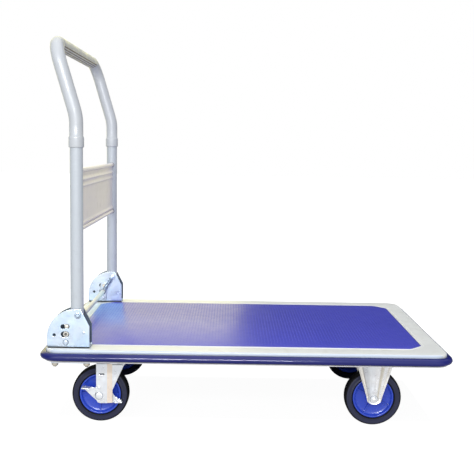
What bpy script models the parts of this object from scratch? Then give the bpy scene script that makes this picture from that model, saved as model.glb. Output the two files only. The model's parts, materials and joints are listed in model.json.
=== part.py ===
"""Folding-handle platform trolley.

Metres, +Z up.  The origin is on the floor under the middle of the deck.  +X points away from the
push handle, +Y is across the deck.  The deck, the hinge brackets and the fixed castors stand still.
The handle folds about its two pivot pins, the release bar swings on its lever pins, the castors at
the handle end swivel, every wheel spins and each swivel castor has a rocking brake pedal.
"""

import math

import bmesh
import bpy
from mathutils import Matrix, Vector
from mathutils.geometry import tessellate_polygon

GAP = 0.0003
MM = 0.001

# Deck: a pressed steel pan with a recessed mat and a bumper round its skirt.
LENGTH = 0.910
WIDTH = 0.610
BUMPER_PROJECTION = 0.013
DECK_TOP = 0.192
DECK_SHEET = 0.002
DECK_CORNER = 0.032
SKIRT_BOTTOM = 0.164
SKIRT_LIP = 0.0025
PAN_HALF_X = LENGTH / 2 - BUMPER_PROJECTION
PAN_HALF_Y = WIDTH / 2 - BUMPER_PROJECTION
RECESS_DEPTH = 0.0025
MAT_HALF_X = 0.397
MAT_HALF_Y = 0.2412
MAT_CORNER_CUT = 0.031
MAT_TOP = 0.1928
MAT_EDGE_ROUND = 0.0008
BEAD_WIDTH = 0.0032
GROOVE_WIDTH = 0.003
GROOVE_DEPTH = 0.0008
BUMPER_LOW = 0.1690
BUMPER_HIGH = 0.1848
CORNER_STEPS = 5

# Channels under the deck.
RAIL_Y = 0.1835
RAIL_HALF_WIDTH = 0.048
RAIL_FLANGE = 0.010
RAIL_LOW = 0.1603
RAIL_HIGH = DECK_TOP - RECESS_DEPTH - DECK_SHEET - GAP
RAIL_SHEET = 0.0025
RAIL_HALF_LENGTH = 0.425
CHANNEL_HALF_WIDTH = 0.030
BACKING_HALF_WIDTH = 0.0155
BACKING_LOW = 0.1575
BACKING_SETBACK = 0.008

# Push handle: one bent tube with a sleeve over its upper part.
POST_X = -0.374
POST_Y = 0.259
TUBE_RADIUS = 0.014
TUBE_WALL = 0.0018
TUBE_SIDES = 12
PIVOT_Z = 0.2155
TUBE_BELOW_PIVOT = 0.008
BEND_Z = 0.694
BEND_RADIUS = 0.120
BEND_STEPS = 3
CROSSBAR_X = -0.421
CROSSBAR_Z = 0.8525
CORNER_RADIUS = 0.050
TUBE_CORNER_STEPS = 6
SLEEVE_RADIUS = 0.0155
SLEEVE_LOW = 0.628
COLLAR_RADIUS = 0.0170
COLLAR_HEIGHT = 0.022
COLLAR_ROUND = 0.0015

# Cross panel between the posts.
PANEL_LOW = 0.4445
PANEL_HIGH = 0.583
PANEL_X = -0.3715
PANEL_SHEET = 0.0015
PANEL_ROLL = 0.0050
PANEL_RIBS = 4
PANEL_RIB_DEPTH = 0.0035

# Hinge brackets: two cheeks and a base web each.
BRACKET_SHEET = 0.003
BRACKET_INNER_HALF = TUBE_RADIUS + GAP
BRACKET_OUTER_HALF = BRACKET_INNER_HALF + BRACKET_SHEET
BRACKET_BASE = DECK_TOP + GAP
BRACKET_LEFT = -0.437
BRACKET_RIGHT = -0.3447
BRACKET_ARC_RADIUS = 0.063
BRACKET_ARC_END = 97.0
BRACKET_TOP_RIGHT = (-0.364, 0.2787)
BRACKET_SHOULDER_Z = 0.241
PIVOT_PIN_RADIUS = 0.006
SPARE_HOLE = (-0.4215, 0.221)
SPARE_HOLE_RADIUS = 0.0035
STUD_POINT = (-0.370, 0.2646)
STUD_RADIUS = 0.003
BOLT_X = (-0.424, -0.354)
BOLT_RADIUS = 0.004
BOLT_END = 0.146
NUT_RADIUS = 0.0075
NUT_LOW = 0.1486
BOLT_HEAD_HEIGHT = 0.0038

# Release: a bar and two levers that swing on the lever pins and carry the lock pins.
LEVER_PIVOT = (-0.3964, 0.2047)
LEVER_PIN_RADIUS = 0.003
BAR_POINT = (-0.396, 0.2228)
BAR_RADIUS = 0.006
BAR_HALF_LENGTH = 0.277
LOCK_POINT = (-0.394, 0.240)
LOCK_PIN_RADIUS = 0.0045
RELEASE_SWING = 12.0
SLOT_CLEARANCE = 0.0006
SLOT_MARGIN_DEG = 1.5
LEVER_SHEET = 0.0033
LEVER_HALF_WIDTH = 0.0095
LUG_LOW = LOCK_POINT[1] + LOCK_PIN_RADIUS + 0.0005
LUG_HEIGHT = 0.012
LUG_HALF_WIDTH = 0.011
LUG_DEPTH = 0.0098
SPRING_RADIUS = 0.0045
SPRING_Y = 0.2332
SPRING_END_CLEARANCE = 0.0085

# Castors.
WHEEL_RADIUS = 0.065
WHEEL_HALF_WIDTH = 0.016
TYRE_SEAT = 0.0478
WHEEL_STEPS = 24
TRACK_Y = 0.1835
FIXED_X = 0.2946
KINGPIN_X = -0.303
SWIVEL_AXLE_X = -0.334
PLATE_HALF_X = 0.0525
PLATE_HALF_Y = 0.0425
PLATE_TOP = 0.160
PLATE_SHEET = 0.003
LEG_INNER = 0.024
LEG_SHEET = 0.003
LEG_BLANK_LOW = 0.040
FIXED_FOOT_RADIUS = 0.0114
FIXED_FOOT_STRETCH = 1.45
CROWN_TOP = 0.1395
RACE_OUTER = 0.027
RACE_INNER = 0.0215
RACE_TOP = 0.150
CUP_OUTER = 0.0195
CUP_LOW = 0.1425
KINGPIN_RADIUS = 0.006
KINGPIN_HEAD_RADIUS = 0.010
KINGPIN_HEAD_LOW = 0.1313
KINGPIN_HEAD_HIGH = 0.1352
AXLE_RADIUS = 0.005
BUSH_RADIUS = 0.0095
BUSH_HALF = 0.0235
HUB_BOSS_HALF = 0.018
HUB_BOSS_RADIUS = 0.015
HUB_RIM_INNER = 0.0425
HUB_RIM_HALF = 0.014
HUB_WEB_HALF = 0.004
AXLE_HEAD_HEIGHT = 0.0045
FIXED_AXLE_HEAD_RADIUS = 0.0065
SWIVEL_AXLE_HEAD_RADIUS = 0.008
PEDAL_SHEET = 0.0025
PEDAL_FACE = 0.0225
PEDAL_TREAD_REACH = 0.040
PEDAL_CAM_RADIUS = 0.0145
PEDAL_CAM_HEIGHT = 0.0012
PIN_STEPS = 12

# Outlines of the castors' legs and pedals: each point is measured along X from the wheel's axle
# and up from the floor.
FIXED_LEG_EDGE = ((0.060, 0.170), (0.060, 0.1575), (0.040, 0.146), (0.0385, 0.138), (0.018, 0.072))
SWIVEL_LEG_OUTLINE = ((-0.007, 0.145), (-0.007, 0.056), (-0.004, 0.050), (0.001, 0.048), (0.020, 0.048),
                      (0.026, 0.052), (0.028, 0.058), (0.028, 0.074), (0.056, 0.136), (0.060, 0.145))
PEDAL_OUTLINE = ((-0.0395, 0.0835), (-0.016, 0.060), (-0.008, 0.053), (0.004, 0.0485), (0.044, 0.0475),
                 (0.0515, 0.049), (0.0510, 0.0515), (0.028, 0.072), (0.016, 0.082), (-0.016, 0.0845),
                 (-0.035, 0.0860))
PEDAL_HEEL_TREAD = ((-0.0395, 0.0835), (-0.0205, 0.0822), (-0.0205, 0.0850), (-0.0350, 0.0862))
PEDAL_TOE_TREAD = ((0.0355, 0.0473), (0.0435, 0.0473), (0.0515, 0.0488), (0.0510, 0.0515), (0.0355, 0.0502))
PEDAL_TREADS = (PEDAL_HEEL_TREAD, PEDAL_TOE_TREAD)

# Finishes: colour, roughness, metallic.
CREAM_PAINT = ((0.82, 0.82, 0.79), 0.40, 0.0)
BLUE_VINYL = ((0.09, 0.10, 0.45), 0.45, 0.0)
NAVY_VINYL = ((0.03, 0.04, 0.18), 0.40, 0.0)
GREY_PAINT = ((0.62, 0.65, 0.74), 0.35, 0.0)
WHITE_SLEEVE = ((0.78, 0.80, 0.80), 0.50, 0.0)
PANEL_PAINT = ((0.62, 0.60, 0.57), 0.45, 0.0)
ZINC = ((0.68, 0.76, 0.82), 0.30, 0.9)
STEEL = ((0.60, 0.58, 0.55), 0.35, 1.0)
BLUE_PLASTIC = ((0.03, 0.05, 0.62), 0.35, 0.0)
BLACK_RUBBER = ((0.015, 0.015, 0.017), 0.65, 0.0)
NYLON = ((0.75, 0.75, 0.70), 0.45, 0.0)


def clear_scene():
    for leftover in list(bpy.data.objects):
        bpy.data.objects.remove(leftover, do_unlink=True)


# ---------------------------------------------------------------- outlines

def arc(centre, radius, start, end, steps):
    """Points on an arc from the start to the end angle, in degrees, both ends included."""
    points = []
    for i in range(steps + 1):
        angle = math.radians(start + (end - start) * i / steps)
        points.append((centre[0] + radius * math.cos(angle), centre[1] + radius * math.sin(angle)))
    return points


def circle(centre, radius, steps):
    return arc(centre, radius, 0.0, 360.0 * (steps - 1) / steps, steps - 1)


def rectangle(half_x, half_y, centre=(0.0, 0.0)):
    cx, cy = centre
    return [(cx - half_x, cy - half_y), (cx + half_x, cy - half_y),
            (cx + half_x, cy + half_y), (cx - half_x, cy + half_y)]


def rounded_outline(half_x, half_y, radius):
    """A rectangle with round corners."""
    points = []
    for quarter, (sx, sy) in enumerate(((1, 1), (-1, 1), (-1, -1), (1, -1))):
        centre = (sx * (half_x - radius), sy * (half_y - radius))
        points += arc(centre, radius, 90.0 * quarter, 90.0 * quarter + 90.0, CORNER_STEPS)
    return points


def cut_outline(half_x, half_y, cut):
    """A rectangle with its corners cut off, with as many points as rounded_outline."""
    points = []
    for sx, sy in ((1, 1), (-1, 1), (-1, -1), (1, -1)):
        start = Vector((sx * half_x, sy * (half_y - cut)))
        end = Vector((sx * (half_x - cut), sy * half_y))
        if sx * sy < 0:
            start, end = end, start
        points += [tuple(start.lerp(end, i / CORNER_STEPS)) for i in range(CORNER_STEPS + 1)]
    return points


def turned_point(point, pivot, degrees):
    """The point turned anticlockwise about the pivot."""
    angle = math.radians(degrees)
    u, v = point[0] - pivot[0], point[1] - pivot[1]
    return (pivot[0] + u * math.cos(angle) - v * math.sin(angle),
            pivot[1] + u * math.sin(angle) + v * math.cos(angle))


def swing_slot(point, radius, steps):
    """The outline swept by a round pin at the point as the release swings on its pivot."""
    u, v = point[0] - LEVER_PIVOT[0], point[1] - LEVER_PIVOT[1]
    reach = math.hypot(u, v)
    low = math.degrees(math.atan2(v, u)) - SLOT_MARGIN_DEG
    high = low + RELEASE_SWING + 2 * SLOT_MARGIN_DEG
    first = turned_point(point, LEVER_PIVOT, -SLOT_MARGIN_DEG)
    last = turned_point(point, LEVER_PIVOT, RELEASE_SWING + SLOT_MARGIN_DEG)
    outer = arc(LEVER_PIVOT, reach + radius, low, high, 2)
    cap_high = arc(last, radius, high, high + 180.0, steps)[1:-1]
    inner = arc(LEVER_PIVOT, reach - radius, high, low, 2)
    cap_low = arc(first, radius, low + 180.0, low + 360.0, steps)[1:-1]
    return outer + cap_high + inner + cap_low


def stadium(start, end, radius, steps):
    """Two half circles joined by straight sides."""
    angle = math.degrees(math.atan2(end[1] - start[1], end[0] - start[0]))
    return (arc(end, radius, angle - 90.0, angle + 90.0, steps)
            + arc(start, radius, angle + 90.0, angle + 270.0, steps))


# ---------------------------------------------------------------- solids

def place(axis, u, v, w):
    """A point from its place in an outline (u, v) and along the outline's axis (w)."""
    return {"X": (w, u, v), "Y": (u, w, v), "Z": (u, v, w)}[axis]


def solid(bm):
    """A working object made from a bmesh, with its faces pointing out."""
    bmesh.ops.recalc_face_normals(bm, faces=bm.faces[:])
    mesh = bpy.data.meshes.new("working")
    bm.to_mesh(mesh)
    bm.free()
    body = bpy.data.objects.new("working", mesh)
    bpy.context.scene.collection.objects.link(body)
    return body


def loft(loops, ring=False):
    """A skin over loops of equally many points; a ring joins its last loop to its first."""
    bm = bmesh.new()
    rows = [[bm.verts.new(point) for point in loop] for loop in loops]
    pairs = list(zip(rows, rows[1:]))
    if ring:
        pairs.append((rows[-1], rows[0]))
    else:
        bm.faces.new(rows[0])
        bm.faces.new(rows[-1])
    count = len(rows[0])
    for low, high in pairs:
        for i in range(count):
            j = (i + 1) % count
            bm.faces.new((low[i], low[j], high[j], high[i]))
    return solid(bm)


def extrude(outline, axis, low, high, holes=()):
    """A flat outline with holes, given thickness along an axis."""
    bm = bmesh.new()
    rings = [outline] + list(holes)
    sheets = []
    for w in (low, high):
        sheets.append([[bm.verts.new(place(axis, u, v, w)) for u, v in ring] for ring in rings])
    if holes:
        triangles = tessellate_polygon([[Vector((u, v, 0.0)) for u, v in ring] for ring in rings])
        for sheet in sheets:
            verts = [vert for ring in sheet for vert in ring]
            for triangle in triangles:
                bm.faces.new([verts[i] for i in triangle])
    else:
        for sheet in sheets:
            bm.faces.new(sheet[0])
    for low_ring, high_ring in zip(*sheets):
        for i in range(len(low_ring)):
            j = (i + 1) % len(low_ring)
            bm.faces.new((low_ring[i], low_ring[j], high_ring[j], high_ring[i]))
    return solid(bm)


def turn(profile, axis, centre, steps, bored=False):
    """A round solid: the profile holds (radius, place along the axis) pairs."""
    loops = []
    for radius, along in profile:
        loops.append([place(axis, u, v, along) for u, v in circle(centre, radius, steps)])
    return loft(loops, ring=bored)


def combine(base, tool, operation):
    """Apply one EXACT Boolean to the base and remove the tool."""
    step = base.modifiers.new("step", "BOOLEAN")
    step.object = tool
    step.operation = operation
    evaluated = base.evaluated_get(bpy.context.evaluated_depsgraph_get())
    result = bpy.data.meshes.new_from_object(evaluated)
    base.modifiers.clear()
    old = base.data
    base.data = result
    bpy.data.meshes.remove(old)
    old = tool.data
    bpy.data.objects.remove(tool)
    bpy.data.meshes.remove(old)
    return base


def drill(base, axis, centre, radius, low, high, steps=PIN_STEPS):
    return combine(base, turn([(radius, low), (radius, high)], axis, centre, steps), "DIFFERENCE")


def bent_path(corners, radii, steps):
    """Points along straight runs whose inner corners are rounded to the given radii."""
    points = [Vector(corners[0])]
    for before, corner, after, radius, count in zip(corners, corners[1:], corners[2:], radii, steps):
        before, corner, after = Vector(before), Vector(corner), Vector(after)
        into = (corner - before).normalized()
        out = (after - corner).normalized()
        half = into.angle(out) / 2
        start = corner - into * radius * math.tan(half)
        centre = start + (out - into * into.dot(out)).normalized() * radius
        axis = into.cross(out)
        for i in range(count + 1):
            rotation = Matrix.Rotation(2 * half * i / count, 3, axis)
            points.append(centre + rotation @ (start - centre))
    points.append(Vector(corners[-1]))
    return points


def tube(path, outer, inner):
    """A hollow round tube along a path; outer has one radius for each point of the path."""
    rings = []
    side = Vector((1.0, 0.0, 0.0))
    for i, point in enumerate(path):
        ahead = path[min(i + 1, len(path) - 1)] - point
        behind = point - path[max(i - 1, 0)]
        tangent = (ahead.normalized() + behind.normalized()).normalized()
        side = (side - tangent * side.dot(tangent)).normalized()
        rings.append((point, side.copy(), tangent.cross(side)))
    loops = []
    for (point, u, v), radius in list(zip(rings, outer)) + [(ring, inner) for ring in rings[::-1]]:
        loops.append([point + u * a + v * b for a, b in circle((0.0, 0.0), radius, TUBE_SIDES)])
    return loft(loops, ring=True)


# ---------------------------------------------------------------- nodes and bodies

bodies = {}


def add_body(name, origin, parent=None):
    """An empty on a joint's axis, which carries the moving pieces."""
    empty = bpy.data.objects.new("axis_" + name, None)
    bpy.context.scene.collection.objects.link(empty)
    base = Vector((0.0, 0.0, 0.0))
    if parent:
        empty.parent, base = bodies[parent]
    empty.location = Vector(origin) - base
    bodies[name] = (empty, Vector(origin))


def make_material(name, finish):
    colour, roughness, metallic = finish
    material = bpy.data.materials.new(name)
    material.use_nodes = True
    shader = material.node_tree.nodes["Principled BSDF"]
    shader.inputs["Base Color"].default_value = (*colour, 1.0)
    shader.inputs["Roughness"].default_value = roughness
    shader.inputs["Metallic"].default_value = metallic
    return material


def add_node(name, piece, finish, body=None, smooth=True):
    """Name a working solid, give it its material and hang it on its body."""
    piece.name = name
    piece.data.name = name
    piece.data.materials.clear()
    piece.data.materials.append(make_material(name, finish))
    if body:
        empty, origin = bodies[body]
        piece.data.transform(Matrix.Translation(-origin))
        piece.parent = empty
    if smooth:
        piece.data.shade_smooth()
        piece.data.set_sharp_from_angle(angle=math.radians(35.0))


# ---------------------------------------------------------------- deck

def pan_loop(inset, z):
    outline = rounded_outline(PAN_HALF_X - inset, PAN_HALF_Y - inset, DECK_CORNER - inset)
    return [(x, y, z) for x, y in outline]


def mat_loop(growth, z):
    return [(x, y, z) for x, y in
            cut_outline(MAT_HALF_X + growth, MAT_HALF_Y + growth, MAT_CORNER_CUT + growth / 2)]


def build_deck():
    recess = DECK_TOP - RECESS_DEPTH
    edge = GAP + 0.7 * MM
    bead = edge + BEAD_WIDTH
    groove = bead + GROOVE_WIDTH
    underside = DECK_TOP - DECK_SHEET
    pan = loft([
        mat_loop(GAP, recess),
        mat_loop(edge, DECK_TOP),
        mat_loop(bead, DECK_TOP),
        mat_loop(bead + GROOVE_DEPTH, DECK_TOP - GROOVE_DEPTH),
        mat_loop(groove - GROOVE_DEPTH, DECK_TOP - GROOVE_DEPTH),
        mat_loop(groove, DECK_TOP),
        pan_loop(4 * MM, DECK_TOP),
        pan_loop(1.2 * MM, DECK_TOP - 1.2 * MM),
        pan_loop(0.0, DECK_TOP - 4 * MM),
        pan_loop(0.0, BUMPER_LOW - 1.4 * MM),
        pan_loop(-SKIRT_LIP, BUMPER_LOW - 2.8 * MM),
        pan_loop(-SKIRT_LIP, SKIRT_BOTTOM + 0.6 * MM),
        pan_loop(-SKIRT_LIP + 0.8 * MM, SKIRT_BOTTOM),
        pan_loop(0.6 * MM, SKIRT_BOTTOM),
        pan_loop(DECK_SHEET, SKIRT_BOTTOM + 3 * MM),
        pan_loop(DECK_SHEET, DECK_TOP - 6 * MM),
        pan_loop(6 * MM, underside),
        mat_loop(groove + 3 * MM, underside),
        mat_loop(bead, recess - DECK_SHEET),
    ])
    for side in (-1, 1):
        for x in BOLT_X:
            drill(pan, "Z", (x, side * POST_Y), BOLT_RADIUS + GAP, 0.17, 0.20)
    add_node("deck_plate", pan, CREAM_PAINT)

    mat = loft([
        mat_loop(0.0, recess + GAP),
        mat_loop(0.0, MAT_TOP - MAT_EDGE_ROUND),
        mat_loop(-MAT_EDGE_ROUND, MAT_TOP),
    ])
    add_node("deck_mat", mat, BLUE_VINYL)

    middle = (BUMPER_LOW + BUMPER_HIGH) / 2
    half = (BUMPER_HIGH - BUMPER_LOW) / 2
    profile = [(-GAP, -half + 0.8 * MM), (-GAP, half - 0.8 * MM)]
    profile += [(-4 * MM - 9 * MM * math.cos(math.radians(a)), half * math.sin(math.radians(a)))
                for a in (90, 60, 30, 0, -30, -60, -90)]
    add_node("edge_bumper", loft([pan_loop(d, middle + z) for d, z in profile], ring=True), NAVY_VINYL)


def channel_section(centre, half_width, low, high, flange=0.0, sheet=RAIL_SHEET):
    """A channel open at its top, with an optional flange along each upper edge."""
    half = [(half_width, low)]
    if flange:
        half += [(half_width, high - sheet), (half_width + flange, high - sheet),
                 (half_width + flange, high)]
    else:
        half += [(half_width, high)]
    half += [(half_width - sheet, high), (half_width - sheet, low + sheet)]
    section = [(centre + u, v) for u, v in half]
    return section + [(centre - u, v) for u, v in half[::-1]]


def build_channels():
    for side, name in ((-1, "rail_right"), (1, "rail_left")):
        section = channel_section(side * RAIL_Y, RAIL_HALF_WIDTH, RAIL_LOW, RAIL_HIGH, RAIL_FLANGE)
        rail = extrude(section, "X", -RAIL_HALF_LENGTH, RAIL_HALF_LENGTH)
        add_node(name, rail, CREAM_PAINT, smooth=False)
    reach = RAIL_Y - RAIL_HALF_WIDTH - RAIL_FLANGE - GAP
    section = channel_section(0.0, CHANNEL_HALF_WIDTH, RAIL_LOW, RAIL_HIGH)
    add_node("cross_channel", extrude(section, "Y", -reach, reach), CREAM_PAINT, smooth=False)
    for side, name in ((-1, "bracket_backing_right"), (1, "bracket_backing_left")):
        section = channel_section(side * POST_Y, BACKING_HALF_WIDTH, BACKING_LOW, RAIL_HIGH)
        backing = extrude(section, "X", BRACKET_LEFT + BACKING_SETBACK, BRACKET_RIGHT)
        for x in BOLT_X:
            bolt = (x, side * POST_Y)
            drill(backing, "Z", bolt, BOLT_RADIUS + GAP, BACKING_LOW - 5 * MM, BACKING_LOW + 5 * MM)
        add_node(name, backing, ZINC, smooth=False)


# ---------------------------------------------------------------- hinge brackets

def bracket_outline():
    arc_centre = (BRACKET_LEFT + BRACKET_ARC_RADIUS, PIVOT_Z)
    outline = [(BRACKET_LEFT, BRACKET_BASE - MM)]
    outline += arc(arc_centre, BRACKET_ARC_RADIUS, 180.0, BRACKET_ARC_END, 9)
    outline += [BRACKET_TOP_RIGHT, (BRACKET_RIGHT, BRACKET_SHOULDER_Z), (BRACKET_RIGHT, BRACKET_BASE - MM)]
    return outline


def bracket_holes():
    return [
        circle((POST_X, PIVOT_Z), PIVOT_PIN_RADIUS + GAP, PIN_STEPS),
        circle(SPARE_HOLE, SPARE_HOLE_RADIUS, PIN_STEPS),
        circle(STUD_POINT, STUD_RADIUS + GAP, PIN_STEPS),
        circle(LEVER_PIVOT, LEVER_PIN_RADIUS + GAP, PIN_STEPS),
        swing_slot(BAR_POINT, BAR_RADIUS + SLOT_CLEARANCE, 6),
        swing_slot(LOCK_POINT, LOCK_PIN_RADIUS + SLOT_CLEARANCE, 6),
    ]


def build_bracket(side, suffix):
    centre = side * POST_Y
    top = BRACKET_TOP_RIGHT[1] + 10 * MM
    inner, outer = BRACKET_INNER_HALF, BRACKET_OUTER_HALF
    section = [(centre - outer, BRACKET_BASE), (centre + outer, BRACKET_BASE), (centre + outer, top),
               (centre + inner, top), (centre + inner, BRACKET_BASE + BRACKET_SHEET),
               (centre - inner, BRACKET_BASE + BRACKET_SHEET), (centre - inner, top), (centre - outer, top)]
    bracket = extrude(section, "X", BRACKET_LEFT - 5 * MM, BRACKET_RIGHT + 5 * MM)
    shape = extrude(bracket_outline(), "Y", centre - 20 * MM, centre + 20 * MM, bracket_holes())
    combine(bracket, shape, "INTERSECT")
    for x in BOLT_X:
        drill(bracket, "Z", (x, centre), BOLT_RADIUS + GAP, BRACKET_BASE - MM, BRACKET_BASE + 5 * MM)
    add_node("hinge_bracket_" + suffix, bracket, ZINC)

    # Places along Y are measured from the post, out from the deck's middle.
    def across(distance):
        return side * (POST_Y + distance)

    def pin(name, point, profile, finish, body=None):
        placed = [(radius, across(distance)) for radius, distance in profile]
        add_node(name + "_" + suffix, turn(placed, "Y", point, PIN_STEPS), finish, body)

    outer_face = BRACKET_OUTER_HALF
    pin("handle_pivot_pin", (POST_X, PIVOT_Z),
        [(PIVOT_PIN_RADIUS, -outer_face + GAP), (PIVOT_PIN_RADIUS, outer_face - GAP)], ZINC)
    pin("cheek_rivet", STUD_POINT,
        [(STUD_RADIUS, inner + GAP), (STUD_RADIUS, outer_face + GAP), (2 * STUD_RADIUS, outer_face + GAP),
         (2 * STUD_RADIUS, outer_face + 1.2 * MM), (1.2 * STUD_RADIUS, outer_face + 2.2 * MM)], ZINC)
    pin("spring_stud", STUD_POINT,
        [(STUD_RADIUS, -inner - GAP), (STUD_RADIUS, -outer_face - GAP),
         (1.8 * STUD_RADIUS, -outer_face - GAP), (1.8 * STUD_RADIUS, -outer_face - 1.5 * MM),
         (STUD_RADIUS, -outer_face - 1.5 * MM), (STUD_RADIUS, -outer_face - 12 * MM),
         (1.6 * STUD_RADIUS, -outer_face - 12 * MM), (1.6 * STUD_RADIUS, -outer_face - 13.5 * MM)], ZINC)
    lever_back = -outer_face - GAP - LEVER_SHEET
    pin("lever_pivot_pin", LEVER_PIVOT,
        [(1.7 * LEVER_PIN_RADIUS, lever_back - 1.8 * MM), (1.7 * LEVER_PIN_RADIUS, lever_back - GAP),
         (LEVER_PIN_RADIUS, lever_back - GAP), (LEVER_PIN_RADIUS, outer_face + GAP),
         (1.8 * LEVER_PIN_RADIUS, outer_face + GAP), (1.8 * LEVER_PIN_RADIUS, outer_face + 1.6 * MM),
         (LEVER_PIN_RADIUS, outer_face + 2.4 * MM)], ZINC)


def build_bolt(side, x, name):
    head_low = BRACKET_BASE + BRACKET_SHEET + GAP
    nut_high = BACKING_LOW - GAP
    stations = [(BOLT_RADIUS, BOLT_END, False), (BOLT_RADIUS, NUT_LOW, False),
                (NUT_RADIUS, NUT_LOW, True), (NUT_RADIUS, nut_high, True),
                (BOLT_RADIUS, nut_high, False), (BOLT_RADIUS, head_low, False),
                (NUT_RADIUS, head_low, True), (NUT_RADIUS, head_low + BOLT_HEAD_HEIGHT, True)]
    loops = []
    for radius, z, hexagonal in stations:
        points = circle((0.0, 0.0), radius, PIN_STEPS)
        if hexagonal:
            flat = math.cos(math.radians(30.0))
            points = [(u * flat, v * flat) if i % 2 else (u, v) for i, (u, v) in enumerate(points)]
        loops.append([(x + u, side * POST_Y + v, z) for u, v in points])
    add_node(name, loft(loops), STEEL)


# ---------------------------------------------------------------- push handle

def handle_route(start_z):
    """The handle's centreline, from one post's start height to the other's."""
    corners = [(POST_X, -POST_Y, start_z), (POST_X, -POST_Y, BEND_Z), (CROSSBAR_X, -POST_Y, CROSSBAR_Z),
               (CROSSBAR_X, POST_Y, CROSSBAR_Z), (POST_X, POST_Y, BEND_Z), (POST_X, POST_Y, start_z)]
    radii = (BEND_RADIUS, CORNER_RADIUS, CORNER_RADIUS, BEND_RADIUS)
    steps = (BEND_STEPS, TUBE_CORNER_STEPS, TUBE_CORNER_STEPS, BEND_STEPS)
    return bent_path(corners, radii, steps)


def build_handle():
    route = handle_route(PIVOT_Z - TUBE_BELOW_PIVOT)
    frame = tube(route, [TUBE_RADIUS] * len(route), TUBE_RADIUS - TUBE_WALL)
    for side in (-1, 1):
        drill(frame, "Y", (POST_X, PIVOT_Z), PIVOT_PIN_RADIUS + GAP,
              side * POST_Y - 20 * MM, side * POST_Y + 20 * MM)
    add_node("handle_tube", frame, GREY_PAINT, "handle")

    route = handle_route(SLEEVE_LOW)
    collar = [(COLLAR_ROUND, COLLAR_RADIUS), (COLLAR_HEIGHT - COLLAR_ROUND, COLLAR_RADIUS),
              (COLLAR_HEIGHT, SLEEVE_RADIUS)]
    first = [route[0] + Vector((0.0, 0.0, height)) for height, _ in collar]
    last = [route[-1] + Vector((0.0, 0.0, height)) for height, _ in collar[::-1]]
    path = [route[0]] + first + route[1:-1] + last + [route[-1]]
    ends = [COLLAR_RADIUS - COLLAR_ROUND / 2] + [radius for _, radius in collar]
    radii = ends + [SLEEVE_RADIUS] * (len(route) - 2) + ends[::-1]
    add_node("grip_sleeve", tube(path, radii, TUBE_RADIUS + GAP), WHITE_SLEEVE, "handle")


def panel_section():
    """The panel's edge rolls and its embossed sheet, seen along Y."""
    half_sheet = PANEL_SHEET / 2
    low, high = PANEL_LOW + PANEL_ROLL, PANEL_HIGH - PANEL_ROLL
    sheet_low, sheet_high = low + PANEL_ROLL, high - PANEL_ROLL
    rib_pitch = (sheet_high - sheet_low) / PANEL_RIBS
    wave = []
    for i in range(PANEL_RIBS):
        base = sheet_low + i * rib_pitch
        for share, depth in ((0.15, 0.0), (0.32, 1.0), (0.68, 1.0), (0.85, 0.0)):
            wave.append((depth * PANEL_RIB_DEPTH, base + share * rib_pitch))
    front = [(PANEL_X + depth + half_sheet, z) for depth, z in wave]
    back = [(PANEL_X + depth - half_sheet, z) for depth, z in wave]
    neck = math.degrees(math.asin(half_sheet / PANEL_ROLL))
    top_roll = arc((PANEL_X, high), PANEL_ROLL, -90.0 + neck, 270.0 - neck, 10)
    low_roll = arc((PANEL_X, low), PANEL_ROLL, 90.0 + neck, 450.0 - neck, 10)
    return front + top_roll + back[::-1] + low_roll


def build_panel():
    reach = POST_Y - TUBE_RADIUS - GAP
    add_node("cross_panel", extrude(panel_section(), "Y", -reach, reach), PANEL_PAINT, "handle")


def build_lug(side, name):
    """A saddle on the post whose lower face stops on the lock pin."""
    centre = (POST_X, side * POST_Y)
    saddle = arc(centre, TUBE_RADIUS + GAP, 120.0, 240.0, 4)
    back = POST_X - TUBE_RADIUS - LUG_DEPTH
    outline = saddle + [(back, centre[1] - LUG_HALF_WIDTH), (back, centre[1] + LUG_HALF_WIDTH)]
    add_node(name, extrude(outline, "Z", LUG_LOW, LUG_LOW + LUG_HEIGHT), STEEL, "handle", smooth=False)


# ---------------------------------------------------------------- release

def build_release():
    ends = [(BAR_RADIUS - MM, BAR_HALF_LENGTH), (BAR_RADIUS, BAR_HALF_LENGTH - MM)]
    profile = [(radius, -y) for radius, y in ends] + ends[::-1]
    add_node("release_bar", turn(profile, "Y", BAR_POINT, PIN_STEPS), CREAM_PAINT, "release")
    face = POST_Y - BRACKET_OUTER_HALF - GAP
    for side, suffix in ((-1, "right"), (1, "left")):
        holes = [circle(LEVER_PIVOT, LEVER_PIN_RADIUS + GAP, PIN_STEPS),
                 circle(BAR_POINT, BAR_RADIUS + GAP, PIN_STEPS),
                 circle(LOCK_POINT, LOCK_PIN_RADIUS + GAP, PIN_STEPS)]
        outline = stadium(LEVER_PIVOT, LOCK_POINT, LEVER_HALF_WIDTH, 8)
        lever = extrude(outline, "Y", side * face, side * (face - LEVER_SHEET), holes)
        add_node("release_lever_" + suffix, lever, ZINC, "release")
        inner_end = side * (face - LEVER_SHEET - MM)
        outer_end = side * (POST_Y + BRACKET_OUTER_HALF + MM)
        pin = turn([(LOCK_PIN_RADIUS, inner_end), (LOCK_PIN_RADIUS, outer_end)], "Y", LOCK_POINT, PIN_STEPS)
        add_node("lock_pin_" + suffix, pin, STEEL, "release")


def build_spring(side, name):
    """The outer shape of a tension spring that pulls the release bar towards its stud."""
    low = Vector((BAR_POINT[0], side * SPRING_Y, BAR_POINT[1]))
    high = Vector((STUD_POINT[0], side * SPRING_Y, STUD_POINT[1]))
    along = (high - low).normalized()
    across = Vector((0.0, 1.0, 0.0))
    third = along.cross(across)
    loops = []
    outline = circle((0.0, 0.0), SPRING_RADIUS, PIN_STEPS)
    for point in (low + along * (SPRING_END_CLEARANCE + 2 * MM), high - along * SPRING_END_CLEARANCE):
        loops.append([point + across * a + third * b for a, b in outline])
    add_node(name, loft(loops), STEEL)


# ---------------------------------------------------------------- castors

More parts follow.
